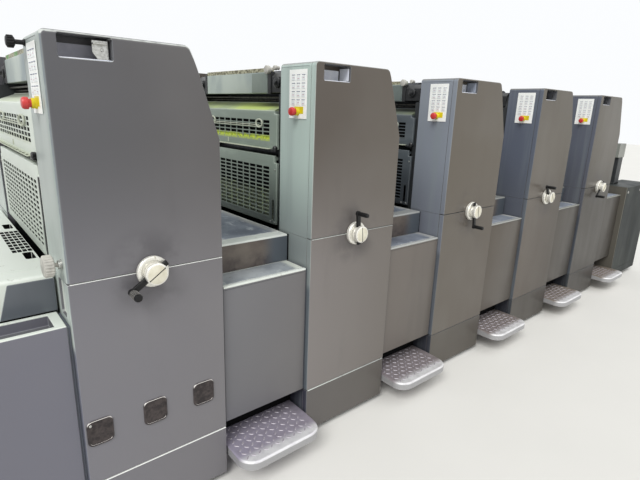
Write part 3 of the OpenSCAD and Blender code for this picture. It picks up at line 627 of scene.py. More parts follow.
# Tone lists: front top, front bottom, kick, side top, side bottom, side foot, side kick, top edges, upright edges. The
# front tones drift along the row as painted reflection and shade, the side tones are painted light, palest at the
# delivery, and the edge tones add a painted highlight to wear.
covers_grey = row_paint(
    "cover_paint", [(0, (88, 88, 92)), (0.12, (89, 87, 88)), (0.25, (86, 79, 73)), (0.5, (94, 87, 77)), (1, (90, 85, 76))],
    [(0, (119, 118, 124)), (0.14, (117, 115, 118)), (0.25, (125, 120, 118)), (0.5, (97, 91, 83)), (0.75, (88, 80, 72)),
     (1, (58, 54, 49))],
    [(0, (115, 114, 120)), (0.14, (112, 110, 114)), (0.2, (98, 95, 94)), (0.5, (82, 77, 70)), (1, (52, 48, 44))],
    [(0, (166, 175, 171)), (0.25, (178, 194, 188)), (0.5, (134, 140, 150)), (0.75, (92, 98, 112)), (1, (92, 96, 108))],
    [(0, (188, 197, 192)), (0.12, (188, 197, 192)), (0.25, (128, 135, 135)), (0.5, (112, 116, 126)), (0.75, (86, 90, 100)),
     (1, (84, 86, 94))],
    [(0, (102, 104, 118)), (0.25, (92, 99, 106)), (0.5, (86, 90, 98)), (1, (70, 74, 82))],
    [(0, (86, 86, 98)), (0.25, (60, 60, 72)), (0.5, (58, 60, 68)), (1, (48, 50, 56))],
    [(0, (206, 210, 206)), (0.15, (200, 204, 200)), (0.25, (156, 160, 156)), (0.5, (122, 122, 118)), (1, (116, 114, 106))],
    [(0, (120, 126, 133)), (0.12, (120, 126, 133)), (0.22, (160, 164, 160)), (0.5, (122, 124, 124)), (1, (112, 112, 108))])
# Panels darken along the row towards the feeder: painted reflection and shade; their edges get a painted highlight as
# well as wear.
panel_tones = [(0, (110, 110, 120)), (0.15, (110, 110, 114)), (0.4, (109, 103, 98)), (0.65, (86, 79, 71)), (1, (62, 58, 53))]
panel_edge_wear_and_highlight = [(0, (150, 152, 154)), (1, (126, 122, 114))]
panel_grey = row_paint("panel_paint", *[panel_tones] * 7, panel_edge_wear_and_highlight, panel_edge_wear_and_highlight)
# The feeder's faces towards the delivery take a paler side tone: painted light.
feeder_grey = painted("feeder_paint", (56, 60, 58), (42, 46, 47), 0.5, 0.0, 0.6, (140, 140, 134), 0.5, 0.12, (92, 89, 82))
filler_grey = painted("filler_strip", (92, 96, 106), (78, 82, 90), 0.5, 0.0, 0.4)
inset_grey = painted("inset_paint", (96, 101, 108), (82, 87, 94), 0.36, 0.2, 0.3)
deck_grey = deck_paint()
riser_brown = riser_finish()
tread_blue = tread_finish("tread_worn", (154, 162, 175), (118, 125, 138), (224, 230, 232), (82, 84, 92), worn_end=0.6)
tread_pale = tread_finish("tread_pale", (178, 184, 188), (130, 137, 146), (228, 232, 226), (104, 102, 98),
                          (226, 230, 220), worn_end=0.95)
step_plate = footboard_finish()
step_bar = tread_finish("step_bar", (164, 158, 168), (146, 139, 150), (178, 173, 180), (122, 115, 122), (180, 176, 182))
guard_green = guard_paint()
frame_iron = painted("frame_iron", (50, 53, 55), (38, 41, 43), 0.5, 0.0, 0.7, (96, 98, 96), 0.4)
bed_iron = painted("bed_paint", (66, 68, 70), (52, 54, 56), 0.5, 0.0, 0.8, (110, 110, 106), 0.5)
void_black = moulded("shadow_black", (24, 25, 27), (32, 33, 35), 0.7)
grille_dark = grille_shade()
deep_shadow = moulded("deep_shadow", (10, 10, 11), (15, 15, 16), 0.85, gloss=0.1)
cylinder_steel = metal("cylinder_steel", (96, 98, 100), (72, 75, 78), 0.32, (1, 12, 1), 40)
rubber = moulded("roller_rubber", (44, 46, 52), (34, 36, 40), 0.55)
duct_steel = metal("duct_steel", (184, 194, 184), (134, 147, 152), 0.36, (1, 0.8, 0.5), 6, 0.5)
duct_dark = metal("duct_end_steel", (138, 148, 140), (104, 114, 114), 0.4, (1, 0.8, 0.5), 8, 0.5)
ink_band = metal("duct_inked", (190, 188, 160), (82, 74, 54), 0.5, (1, 0.6, 1), 110, 0.1, (92, 150, 78), 0.9)
ink_strip = moulded("ink_strip", (222, 238, 96), (164, 184, 40), 0.5, 60)
bracket_black = painted("bracket_black", (34, 35, 37), (26, 27, 29), 0.45, 0.1, 0.3, (92, 92, 92), 0.5)
panel_white = moulded("panel_white", (250, 251, 248), (242, 244, 241), 0.35)
key_grey = moulded("key_grey", (232, 236, 236), (222, 227, 229), 0.4)
mark_blue = moulded("mark_blue", (136, 143, 160), (120, 127, 146), 0.4)
mark_pink = moulded("mark_pink", (204, 168, 176), (188, 156, 166), 0.4)
stop_yellow = moulded("stop_yellow", (226, 208, 32), (202, 184, 22), 0.35)
stop_red = moulded("stop_red", (206, 64, 62), (184, 44, 46), 0.32)
collar_silver = metal("collar_silver", (246, 244, 236), (226, 224, 216), 0.28, (1, 6, 1), 80, 0.5)
dial_cream = moulded("dial_cream", (226, 222, 204), (208, 202, 182), 0.35)
grip_black = moulded("grip_black", (26, 26, 27), (18, 18, 19), 0.35, gloss=0.3)
# Grey for the ribs of the first unit's black grip: painted highlight.
grip_rib = moulded("grip_rib", (150, 148, 143), (112, 110, 106), 0.3)
plate_black = blanking_finish()
screw_steel = metal("screw_steel", (208, 208, 204), (176, 176, 172), 0.3, scale=200)
foot_steel = metal("foot_steel", (118, 118, 116), (84, 84, 84), 0.5, scale=70)
chain_steel = metal("chain_steel", (96, 94, 90), (66, 64, 62), 0.5, scale=90)
# Hand-hold plate tones, lightened for the light inside the pockets and lighter on some units than others: painted
# light.
inner_plate = moulded("inner_plate", (238, 241, 248), (222, 226, 238), 0.4)
inner_dark = moulded("inner_dark", (214, 214, 226), (198, 198, 212), 0.5)
side_plate = moulded("side_plate", (176, 184, 198), (160, 168, 184), 0.4)
lip_pale = painted("lip_pale", (204, 209, 188), (184, 190, 170), 0.45, 0.0, 0.4)
knob_pale = moulded("knob_pale", (198, 196, 188), (168, 166, 160), 0.5)
wood = plank_wood()

for name, material in {
    "side_frames": frame_iron, "bed": bed_iron, "printing_cylinders": cylinder_steel, "ink_rollers": rubber,
}.items():
    nodes[name].data.materials.clear()
    nodes[name].data.materials.append(material)


def along_row(piece, name, material, node, slot, body=press):
    """Fits a piece of the first unit and its copies on the other units."""
    made = [piece] + [again(piece, f"{name}_{unit + 1}", pitch * unit) for unit in range(1, units)]
    piece.name = f"{name}_1"
    for copy in made:
        fit(copy, material, body, node, slot)
    return made


slope_normal = Vector((cover_top - slope_start, 0, cover_width - cover_top_width)).normalized()


def clad(name, bottom, top, sloped=False, roll=3.5):
    """A cover of the first unit: a door with rolled edges, and the case behind its seam."""
    door = block(name, (0, 0, bottom), (cover_width, 24, top))
    case = block(name + "_case", (0.8, 25.4, max(bottom - 2.4, 24)), (cover_width - 0.8, cover_depth, top - 0.3))
    if sloped:
        trimmed(door, (cover_width, 0, slope_start), slope_normal)
        trimmed(case, (cover_width - 0.8, 0, slope_start), slope_normal)
        for part in (door, case):
            rounded(part, 15, 5, lambda place, way: abs(way.y) > 0.9 and place.z > top - 3
                    and (place.x < 2 or place.x > cover_top_width - 5))
    rounded(door, roll, 4, lambda place, way: place.y < 0.5 and abs(way.y) < 0.5
            and (place.x < 16 or (sloped and place.z > top - 16)))
    return door, case


def handhold(depth):
    pocket = block("pocket", (36, -5, 1384), (158, depth, 1438))
    return rounded(pocket, 5, 3, lambda place, way: abs(way.y) > 0.9)


# Upper side covers, the first with the deeper hand-hold.
upper_covers = []
for unit in (0, 1):
    door, case = clad("upper_cover", seam + 3, cover_top, sloped=True, roll=11 if unit == 0 else 4.5)
    for part in (door, case):
        cut(part, handhold(80 if unit == 0 else 60))
    lip = block("groove", (-1, 36, 1429), (2.2, 205, 1430.6))
    cut(case, lip)
    eased(door, 1.6, 2)
    eased(case, 0.7, 2)
    upper_covers.append(joined(f"upper_cover_{unit + 1}", door, case))
for unit in range(2, units):
    upper_covers.append(again(upper_covers[1], f"upper_cover_{unit + 1}", pitch * unit))
upper_covers[1].data.transform(Matrix.Translation((pitch / 1000, 0, 0)))
for cover in upper_covers:
    fit(cover, covers_grey, press, "upper_side_covers", "cover_grey")

door, case = clad("lower_cover", kick_seam + 3, seam)
lower = joined("lower_cover", eased(door, 1.6), eased(case, 0.7))
recess = rounded(block("recess", (-5, 50, 724), (8, 106, 829)), 10, 4, lambda place, way: abs(way.x) > 0.9)
lower_covers = along_row(lower, "lower_cover", covers_grey, "lower_side_covers", "cover_grey")
cut(lower_covers[0], recess)
door, case = clad("kick_panel", 24, kick_seam)
kick = joined("kick_panel", eased(door, 1.6), eased(case, 1.6))
along_row(kick, "kick_panel", covers_grey, "kick_panels", "cover_grey")
# Thin pale strips at the seams of the first two units: painted highlights on the edges below the seams.
seam_highlights = joined("seam_strips", eased(block("strip", (6, -0.5, kick_seam - 2.4), (cover_width - 1, 12, kick_seam + 0.4)), 0.6),
                eased(block("strip", (6, -0.4, seam - 0.9), (cover_width - 1, 12, seam + 0.5)), 0.4))
seam_highlights.name = "seam_strips_1"
fit(seam_highlights, panel_white, press, (), "cover_grey")
fit(again(seam_highlights, "seam_strips_2", pitch), deck_grey, press, (), "cover_grey")

# Lips and inner plates of the hand-holds.
for unit in range(units):
    x = unit * pitch
    lip = eased(block(f"handhold_lip_{unit + 1}", (x + 37, 3, 1384), (x + 157, 7, 1386)), 0.6, 2)
    lip = joined(lip.name, lip, eased(block("lip", (x + 37, 18, 1384), (x + 157, 24, 1388)), 1, 2))
    fit(lip, inner_plate, press, slot="panel_grey")
    back = 78 if unit == 0 else 58
    # The back plates are made pale, palest on the second and third units, for the light in the deep pockets: painted
    # light.
    plate = eased(block(f"handhold_plate_{unit + 1}", (x + 40, back - 3, 1387), (x + 150, back + 1, 1424)), 1.5, 2)
    fit(plate, inner_plate if unit in (1, 2) else inner_dark, press, slot="panel_grey")
bracket = block("handhold_bracket", (116, 20, 1388), (154, 23, 1432))
bracket = trimmed(bracket, (116, 0, 1404), Vector((-0.82, 0, -0.57)))
bracket = joined("handhold_bracket", eased(bracket, 1), eased(block("foot", (116, 8, 1422), (148, 23, 1425)), 1),
                 turned("screw", (138, 20, 1410), (0, -1, 0), [(0, 4), (2, 4), (3, 3)], 16))
fit(bracket, screw_steel, press, slot="panel_grey")
# A pale plate at the back of the first unit's side recess: painted light in the recess.
finger_back = eased(block("finger_recess_back", (6.6, 52, 726), (7.8, 104, 827)), 0.4)
fit(finger_back, deck_grey, press, slot="panel_grey")
# Pale plates on the hand-holds' right inner walls, paler on the second unit: painted light.
for unit, material in ((1, inner_plate), (2, side_plate)):
    plate = block(f"handhold_side_{unit + 1}", (unit * pitch + 153.5, 9, 1388), (unit * pitch + 157.5, 56, 1431))
    fit(eased(plate, 1, 2), material, press, slot="panel_grey")


def gap_of(unit):
    start = unit * pitch + cover_width + 8
    end = feeder_start - 8 if unit == units - 1 else (unit + 1) * pitch - 8
    return start, end


for unit in range(units):
    start, end = gap_of(unit)
    number = unit + 1
    # Infill panels under the treads, on both sides of the press.
    front = eased(block("infill", (start, 14, 218), (end, riser, tread_top)), 2.5, 3)
    fold = block("fold", (start - 1, 10, 711), (end + 1, 16, 712.4))
    back = eased(block("infill", (start, far_riser, 218), (end, 1286, tread_top)), 2.5, 3)
    panel = joined(f"infill_panel_{number}", cut(front, fold), back)
    fit(panel, panel_grey, press, "infill_panels", "panel_grey")
    fillers = [eased(block("filler", (low, front_y, 220), (low + 7, back_y, 721)), 1) for low in (start - 7.5, end + 0.5)
               for front_y, back_y in ((19, 130), (1170, 1281))]
    fit(joined(f"filler_strips_{number}", *fillers), filler_grey, press, (), "panel_grey")
    # Decks between the units, with worn treads let in.
    deck = eased(block(f"unit_deck_{number}", (start, riser, 300), (end, far_riser, deck_top)), 4, 3)
    fit(deck, deck_grey, press, "unit_decks", "deck_grey")
    tread = eased(block("tread", (start + 10, riser + 52, deck_top - 2), (end - 10, 968, deck_top + 1.4)), 1, 2)
    lower_tread = eased(block("tread", (start + 4, 30, tread_top - 2), (end - 4, riser - 4, tread_top + 1.2)), 1, 2)
    tread.name, lower_tread.name = f"worn_tread_{number}", f"lower_tread_{number}"
    fit(tread, tread_blue, press, slot="deck_grey")
    fit(lower_tread, tread_pale if unit == 0 else tread_blue, press, slot="deck_grey")
    riser_plate = eased(block(f"riser_plate_{number}", (start + 2, riser - 1.5, tread_top + 2),
                              (end - 2, riser + 2, deck_top - 7)), 1, 2)
    fit(riser_plate, riser_brown, press, slot="deck_grey")
    tread_edge = eased(block(f"tread_edge_{number}", (start + 1, 13.2, tread_top - 6),
                             (end - 1, 28, tread_top + 0.8)), 2, 3)
    fit(tread_edge, deck_grey, press, slot="panel_grey")
    # Black pieces beside each riser and behind each footboard: painted shadow.
    gap = eased(block("gap", (end + 0.6, riser + 3, 724), (end + 7.2, riser + 60, deck_top - 3)), 0.5)
    skirt = eased(block("skirt", (start + 1, 100, 121), (end - 1, 108, 217)), 0.5)
    fit(joined(f"dark_skirt_{number}", gap, skirt), deep_shadow, press, slot="deck_grey")


def step_bars(start, end, front, back, top):
    """Raised lens-shaped bars that alternate in direction over a footboard."""
    step = 25
    columns = int((end - start) / (2 * step))
    rows = int((back - front) / (2 * step))
    made = []
    for offset_x, offset_y, turn in ((0, 0, 45), (step, 0, -45), (0, step, -45), (step, step, 45)):
        x, y = start + step / 2 + offset_x, front + step / 2 + offset_y
        bpy.ops.object.select_all(action="DESELECT")
        bpy.ops.mesh.primitive_circle_add(vertices=8, radius=0.0105, fill_type="NGON", location=at(x, y, top - 0.4))
        bar = settled("bar")
        bpy.ops.object.mode_set(mode="EDIT")
        bpy.ops.mesh.select_all(action="SELECT")
        bpy.ops.transform.resize(value=(1, 0.34, 1), center_override=at(x, y, top))
        bpy.ops.mesh.extrude_region_move(TRANSFORM_OT_translate={"value": (0, 0, 0.0022)})
        bpy.ops.transform.resize(value=(0.72, 0.5, 1), center_override=at(x, y, top))
        bpy.ops.mesh.select_all(action="SELECT")
        bpy.ops.mesh.normals_make_consistent(inside=False)
        done()
        turned_about(bar, (x, y, top), "Z", turn)
        spread(bar, columns, x=2 * step)
        spread(bar, rows, y=2 * step)
        made.append(bar)
    return joined("bars", *made)


for unit in range(units):
    start, end = gap_of(unit)
    board = block("footboard", (start, -124, 86), (end, cover_depth, 120))
    rounded(board, 62, 8, lambda place, way: abs(way.z) > 0.9 and place.y < -120)
    rounded(board, 9, 4, lambda place, way: place.z > 119 and place.y < -66)
    board.name = f"footboard_{unit + 1}"
    fit(eased(board, 2, 2), step_plate, press, "footboards", "tread_plate")
    bars = step_bars(start + 14, end - 6, -98, cover_depth - 4, 120)
    bars.name = f"footboard_bars_{unit + 1}"
    fit(bars, step_bar, press, (), "tread_plate")


# Guards: one pan with slots for the upper and one for the lower place, copied to every unit.
slot_step = 50
slot_columns = 13
first_slot = 300
slot_width = 44.5
slot_height = 11
upper_rows = [1238 - 15 * k for k in range(5)]
lower_rows = [1061 - 15.5 * k for k in range(13)]


def guard_pan(name, bottom, top, lap_top, rows):
    """A sheet with rows of slots, seen from the delivery side; its rim is folded afterwards."""
    bpy.ops.object.select_all(action="DESELECT")
    bpy.ops.mesh.primitive_plane_add(size=1, location=at(4, 600, (bottom + top) / 2),
                                     rotation=(math.radians(-90), 0, math.radians(90)))
    pan = bpy.context.object
    pan.scale = (0.744, (top - bottom) / 1000, 1)
    settled(name)
    if pan.data.polygons[0].normal.x > 0:
        pan.data.flip_normals()
    columns = [first_slot + slot_step * k for k in range(slot_columns)]
    across = [y + side * slot_width / 2 for y in columns for side in (-1, 1)] + [246, 954]
    upward = [z + side * slot_height / 2 for z in rows for side in (-1, 1)] + [lap_top]
    lines = [((4, y, 0), (0, 1, 0)) for y in across] + [((4, 0, z), (0, 0, 1)) for z in upward]
    only(pan)
    bpy.ops.object.mode_set(mode="EDIT")
    for place, normal in lines:
        bpy.ops.mesh.select_all(action="SELECT")
        bpy.ops.mesh.bisect(plane_co=at(*place), plane_no=normal)
    done()
    pick(pan, "FACE", lambda place, normal: place.z > lap_top and abs(place.y - 600) > 354)
    bpy.ops.mesh.delete(type="FACE")
    done()
    pick(pan, "FACE", lambda place, normal: any(abs(place.y - y) < 1 for y in columns)
         and any(abs(place.z - z) < 1 for z in rows))
    bpy.ops.mesh.delete(type="FACE")
    done()
    return pan


def folded_back(pan, depth, test):
    pick(pan, "EDGE", test)
    bpy.ops.mesh.extrude_edges_move(TRANSFORM_OT_translate={"value": (depth / 1000, 0, 0)})
    done()


def outline_edge(pan, bottom, top, lap_top):
    """Tells the sheet's outer edges from those of its slots."""
    def test(place, way):
        at_end = abs(abs(place.y - 600) - 372) < 0.3 and abs(way.z) > 0.9
        at_lap = abs(place.z - lap_top) < 0.3 and abs(place.y - 600) > 355
        at_step = abs(abs(place.y - 600) - 354) < 0.3 and place.z > lap_top and abs(way.z) > 0.9
        return abs(place.z - bottom) < 0.3 or abs(place.z - top) < 0.3 or at_end or at_lap or at_step
    return test


def thickened(pan):
    finished_by(pan, "BEVEL", width=0.0035, segments=3, limit_method="ANGLE", angle_limit=math.radians(50))
    finished_by(pan, "SOLIDIFY", thickness=0.0025, offset=-1, use_rim=True)
    only(pan)
    bpy.ops.object.shade_smooth_by_angle(angle=math.radians(32))
    return pan


lower_pan = guard_pan("lower_guard_pan", 840, 1112, 1084, lower_rows)
folded_back(lower_pan, 11.5, outline_edge(lower_pan, 840, 1112, 1084))
thickened(lower_pan)
finger_slot = rounded(block("finger_slot", (-4, finger[0], finger[2]), (20, finger[1], finger[3])), 6, 3,
                      lambda place, way: abs(way.x) > 0.9)
cut(lower_pan, finger_slot)
web = eased(block("web", (14, 246, 1094), (34, 954, 1106)), 1)
hinge = rod("hinge", (34, 225, 1100), (34, 975, 1100), 6)
# A dark strip along the first unit's lower guard edge: painted shadow where the guard stands off the cover.
guard_shadow = eased(block("guard_seal", (2.4, 229, 842), (10, 242, 1082)), 2, 3)
# A dark sheet behind the lower guard's slots: painted shade.
lower_shade = eased(block("lower_guard_shade", (12.5, 262, 850), (14.5, 938, 1080)), 0.5)
lower_guard = joined("lower_guard", lower_pan, web, hinge)

upper_pan = guard_pan("upper_guard_pan", 1136, 1280, 1268, upper_rows)
folded_back(upper_pan, 11.5, lambda place, way: outline_edge(upper_pan, 1136, 1280, 1268)(place, way)
            and place.z < 1279)
pick(upper_pan, "EDGE", lambda place, way: abs(place.z - 1280) < 0.3 and place.x < 5)
bpy.ops.mesh.extrude_edges_move(TRANSFORM_OT_translate={"value": (0.073, 0, 0.029)})
done()
thickened(upper_pan)
hinge = rod("hinge", (80, 225, 1306), (80, 975, 1306), 6)
sides = [trimmed(block("side", (6, y, 1268), (78, y + 3, 1306)), (4, 0, 1276), Vector((-0.37, 0, 0.93)))
         for y in (246.5, 950.5)]
upper_guard = joined("upper_guard", upper_pan, hinge, *sides)
# A dark sheet behind the upper guard's slots: painted shade.
upper_shade = eased(block("upper_guard_shade", (12.5, 262, 1148), (14.5, 938, 1262)), 0.5)
strip = eased(block("ink_strip", (7.4, 268, 1169), (9.4, 932, 1187)), 0.5)

lip = block("lip", (-13, 262, 1136), (5, 948, 1138.5))
cut(lip, spread(block("window", (-10.5, 282, 1130), (-1, 324, 1145)), 12, y=55))
handle = rod("handle", (-4, 338, 1224.5), (-4, 720, 1224.5), 1.7, 12)
rings = [rod("handle", (-4, 338, 1217.5), (-4, 720, 1217.5), 1.7, 12)]
for y in (338, 720):
    bpy.ops.object.select_all(action="DESELECT")
    bpy.ops.mesh.primitive_torus_add(major_segments=28, minor_segments=10, major_radius=0.015, minor_radius=0.003,
                                     location=at(-4, y, 1231), rotation=(0, math.radians(90), math.radians(18)))
    rings.append(settled("ring"))
    rings.append(rod("pin", (5, y, 1219), (-5, y, 1219), 4, 14))
mark = eased(block("mark", (1.5, 592, 1144), (4.5, 596, 1162)), 0.6)
handle = joined("guard_handle", handle, *rings, mark)
eased(lip, 0.6)
lever = joined("guard_lever", eased(block("lever", (-6, 226, 1128), (4, 262, 1138)), 3, 3),
               turned("tip", (1, 232, 1142), (-1, 0, 0), [(-4, 8), (0, 9), (6, 9), (9, 6)], 18))
screws = [turned("screw", (4.2, y, z), (-1, 0, 0), [(-1, 4.5), (1.6, 4.5), (2.6, 3)], 12)
          for y, z in ((237, 1058), (237, 851), (962, 1058), (962, 851), (266, 850))]
screws = joined("guard_screws", *screws)

guard_paths = []
for unit in range(units):
    number, x = unit + 1, unit * pitch
    for piece, name, material, body, node in (
            (upper_guard, "upper_guard_sheet", guard_green, "upper_guard", True),
            (lower_guard, "lower_guard_sheet", guard_green, "lower_guard", True),
            (handle, "upper_guard_handle", lip_pale, "upper_guard", False),
            (lip, "upper_guard_lip", lip_pale, "upper_guard", False),
            (upper_shade, "upper_guard_shade", grille_dark, "upper_guard", False),
            (lower_shade, "lower_guard_shade", grille_dark, "lower_guard", False),
            (guard_shadow, "lower_guard_seal", bracket_black, "lower_guard", False),
            (strip, "upper_guard_strip", ink_strip, "upper_guard", False),
            (lever, "upper_guard_lever", bracket_black, "upper_guard", False),
            (screws, "lower_guard_screws", screw_steel, "lower_guard", False)):
        if unit != {"guard_seal": 0, "ink_strip": 1}.get(piece.name, unit):
            continue
        copy = again(piece, f"{name}_{number}", x)
        fit(copy, material, f"{body}_{number}", f"{body}_{number}" if node else (), "guard_green")
for piece in (upper_guard, lower_guard, upper_shade, lower_shade, handle, lip, guard_shadow, strip, lever, screws):
    bpy.data.objects.remove(piece)

# Ink ducts with their end caps, blades, brackets and the rods below.
body = block("ink_duct", (44, 330, 1344), (140, 870, 1424))
trimmed(body, (140, 0, 1344), Vector((80, 0, 80)).normalized())
eased(body, 2, 2)
caps = []
for low, high in ((328, 349), (856, 872)):
    cap = block("cap", (42, low, 1342), (142, high, 1425.5))
    trimmed(cap, (143, 0, 1344), Vector((80, 0, 80)).normalized())
    caps.append(eased(cap, 1.5, 2))
along_row(joined("duct_caps", *caps), "duct_caps", bracket_black, (), "duct_steel")
along_row(body, "ink_duct", duct_steel, "ink_ducts", "duct_steel")
end_plate = eased(block("duct_end_plate", (42.4, 351, 1347), (44.6, 464, 1421)), 0.8, 2)
along_row(end_plate, "duct_end_plate", duct_dark, (), "duct_steel")
blade = eased(block("duct_blade", (50, 334, 1424), (63, 866, 1440)), 1.5, 2)
along_row(blade, "duct_blade", ink_band, (), "duct_steel")
knobs = [turned("knob", (52, 336, 1431), (-1, 0, 0), [(0, 8), (9, 8), (12, 15), (20, 16), (25, 16), (27, 13)], 24),
         turned("knob", (52, 286, 1436), (-1, 0, 0), [(0, 7), (9, 7), (12, 9), (22, 9), (24, 7)], 20)]
along_row(joined("duct_knob", *knobs), "duct_knob", knob_pale, (), "collar_silver")
plates = []
for low, high in ((240, 330), (870, 960)):
    plate = block("duct_bracket", (46, low, 1346), (214, high, 1424))
    trimmed(plate, (46, 0, 1404), Vector((-1, 0, 1)).normalized())
    plates.append(eased(plate, 2.5, 2))
bosses = [turned("boss", (47, y, 1384), (-1, 0, 0), [(0, 20), (8, 20), (10, 17), (10, 9), (16, 9), (17, 7)], 24)
          for y in (286, 914)]
along_row(joined("duct_bracket", *plates, *bosses), "duct_bracket", bracket_black, "duct_brackets", "bracket_black")
bars = joined("duct_rods", rod("bar", (64, 240, 1330), (64, 960, 1330), 3.5, 12),
              rod("bar", (84, 240, 1320), (84, 960, 1320), 3.5, 12))
along_row(bars, "duct_rods", chain_steel, (), "duct_steel")

# Button panels and stop buttons on the covers' sides.
plate = eased(block("button_panel", (-2, 44, 1256), (0, 144, 1420)), 0.7, 2)
along_row(plate, "button_panel", panel_white, "button_panels", "panel_white")
key = eased(block("keys", (-3.2, 53, 1384), (-1.6, 72, 1398)), 0.5, 2)
spread(spread(key, 3, y=28.5), 4, z=-27.5)
along_row(key, "panel_keys", key_grey, (), "panel_white")
for name, material, width, places in (
        ("captions", mark_blue, 7.5, [(y + step, z) for y in (54, 82.5, 111) for step in (0, 9.5)
                                      for z in (1401.5, 1374, 1346.5, 1319)]),
        ("key_marks", mark_pink, 10, [(y, z) for y, z in zip((57, 86, 114, 57, 86, 114, 57, 86, 114, 57, 86, 114), (
            1392, 1389, 1392, 1362, 1364, 1360, 1336, 1333, 1335, 1306, 1309, 1305))])):
    marks = [eased(block("mark", (-3.6, y, z), (-1.8, y + width, z + 2)), 0.2, 1) for y, z in places]
    along_row(joined(name, *marks), name, material, (), "panel_white")
base = turned("stop_base", (-2, 94, 1280), (-1, 0, 0),
              [(-1, 13.4), (3, 13.4), (3.8, 12.6), (12, 12.6), (12.5, 12), (12.5, 10.7), (4.5, 10.5)])
field = eased(block("field", (-3, 62, 1273), (-1, 112, 1297)), 0.5)
along_row(joined("stop_base", base, field), "stop_base", stop_yellow, "stop_bases", "stop_yellow")
head = turned("stop_head", (-2, 94, 1280), (-1, 0, 0),
              [(9, 9.6), (9.4, 10), (17.5, 10), (17.5, 12), (18.6, 14), (20.5, 14.6), (28, 14.6), (32, 12.4), (33.5, 8)])
for copy in along_row(head, "stop_head", stop_red, (), "stop_red"):
    number = copy.name.rsplit("_", 1)[1]
    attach(copy, f"stop_button_{number}")
    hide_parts(f"stop_button_{number}")

# Collars and handwheels.
collar = turned("collar", (wheel_x, 0, seam), (0, -1, 0),
                [(-1, 42), (2, 42), (3.5, 45), (13, 45), (15.6, 43), (16, 41.5), (16, 35), (14.8, 33.5)], 56)
notch = block("notch", (wheel_x + 14, -20, seam + 34), (wheel_x + 18, -9, seam + 50))
collar = cut(collar, turned_about(notch, (wheel_x, 0, seam), "Y", -14))
along_row(collar, "bearing_collar", collar_silver, "bearing_collars", "collar_silver")
bush = turned("side_knob_bush", (0, 42, 880), (-1, 0, 0), [(-1, 14), (1.5, 14), (2, 12), (8.4, 12), (9, 11)])
fit(bush, screw_steel, press, (), "collar_silver")
bush = turned("latch_knob_bush", (0, 168, 1424), (-1, 0, 0), [(-1, 8.6), (1.5, 8.6), (2, 7), (3.4, 7), (4, 6.6)])
fit(bush, grip_black, press, (), "collar_silver")

crank_angles = (215, 95, 279, 127, 229)
center = (wheel_x, 0, seam)
for unit, angle in enumerate(crank_angles):
    number, x, foot = unit + 1, unit * pitch, (wheel_x, 0, seam)
    dial = turned("dial", foot, (0, -1, 0), [(4, 7.6), (16.5, 7.6), (16.5, 27), (17.5, 28), (28.5, 28), (28.5, 30.5),
                                             (30, 32), (42.5, 32), (44, 30.6), (44.5, 29)], 56)
    face = turned("face", foot, (0, -1, 0), [(43, 27), (44.9, 27), (45.3, 26)], 48)
    line = eased(block("line", (wheel_x - 28.6, -45.9, seam - 1.3), (wheel_x + 28.6, -44.2, seam + 1.3)), 0.2, 1)
    arm = eased(block("arm", (wheel_x + 26, -28.2, seam - 8.8), (wheel_x + 80, -18.5, seam + 8.8)), 2, 3)
    stub = eased(block("stub", (wheel_x - 45, -28.2, seam - 8), (wheel_x - 26, -18.5, seam + 8)), 3, 3)
    eye = turned("eye", (wheel_x + 80, 0, seam), (0, -1, 0), [(17.5, 9.4), (18.2, 10.6), (28, 10.6), (29, 9.4)], 24)
    thick = 11.4 if unit == 0 else 8.4
    grip = turned("grip", (wheel_x + 80, 0, seam), (0, -1, 0),
                  [(19, 6), (29.5, 6), (29.8, thick - 1), (32, thick), (71, thick), (74.6, thick - 1.6), (75.5, thick - 4)], 28)
    # The first unit's ribs take the grey finish: painted highlight on black ribs.
    ribs = [turned("rib", (wheel_x + 80, 0, seam), (0, -1, 0),
                   [(d, thick - 0.4), (d + 0.4, thick + 0.5), (d + 1.6, thick + 0.5), (d + 2, thick - 0.4)], 28)
            for d in (36, 43, 50, 57, 64)]
    for piece, name, material, slot in (
            (dial, "handwheel_dial", collar_silver, "collar_silver"), (face, "handwheel_face", dial_cream, "collar_silver"),
            (line, "handwheel_line", grip_black, "plate_black"),
            (joined("arm", arm, stub, eye, grip), "handwheel_crank", grip_black, "plate_black"),
            (joined("ribs", *ribs), "handwheel_ribs", grip_rib if unit == 0 else grip_black, "plate_black")):
        turned_about(piece, center, "Y", -angle)
        piece.data.transform(Matrix.Translation((x / 1000, 0, 0)))
        piece.name = piece.data.name = f"{name}_{number}"
        fit(piece, material, f"handwheel_{number}", f"handwheel_{number}" if name.endswith("dial") else (), slot)


def knurled(name, foot, start, end, radius, count):
    """A knob's head with ribs around it, turned along -X."""
    head = turned(name, foot, (-1, 0, 0), [(3, 5.8), (start, 5.8), (start, radius - 6), (start + 3, radius - 2),
                                           (end - 3, radius - 2), (end - 0.8, radius - 4.5), (end, radius - 9)])
    x, y, z = foot
    rib = eased(block("rib", (x - end + 3, y - 1.9, z + radius - 4), (x - start - 3, y + 1.9, z + radius)), 1, 1)
    ribs = [rib] + [turned_about(again(rib, "rib"), foot, "X", 360 / count * k) for k in range(1, count)]
    return joined(name, head, *ribs)


fit(knurled("side_knob_head", (0, 42, 880), 18, 44, 29, 22), knob_pale, "side_knob", "side_knob", "collar_silver")
fit(knurled("latch_knob_head", (0, 168, 1424), 21, 41, 15, 14), grip_black, "latch_knob", "latch_knob", "plate_black")

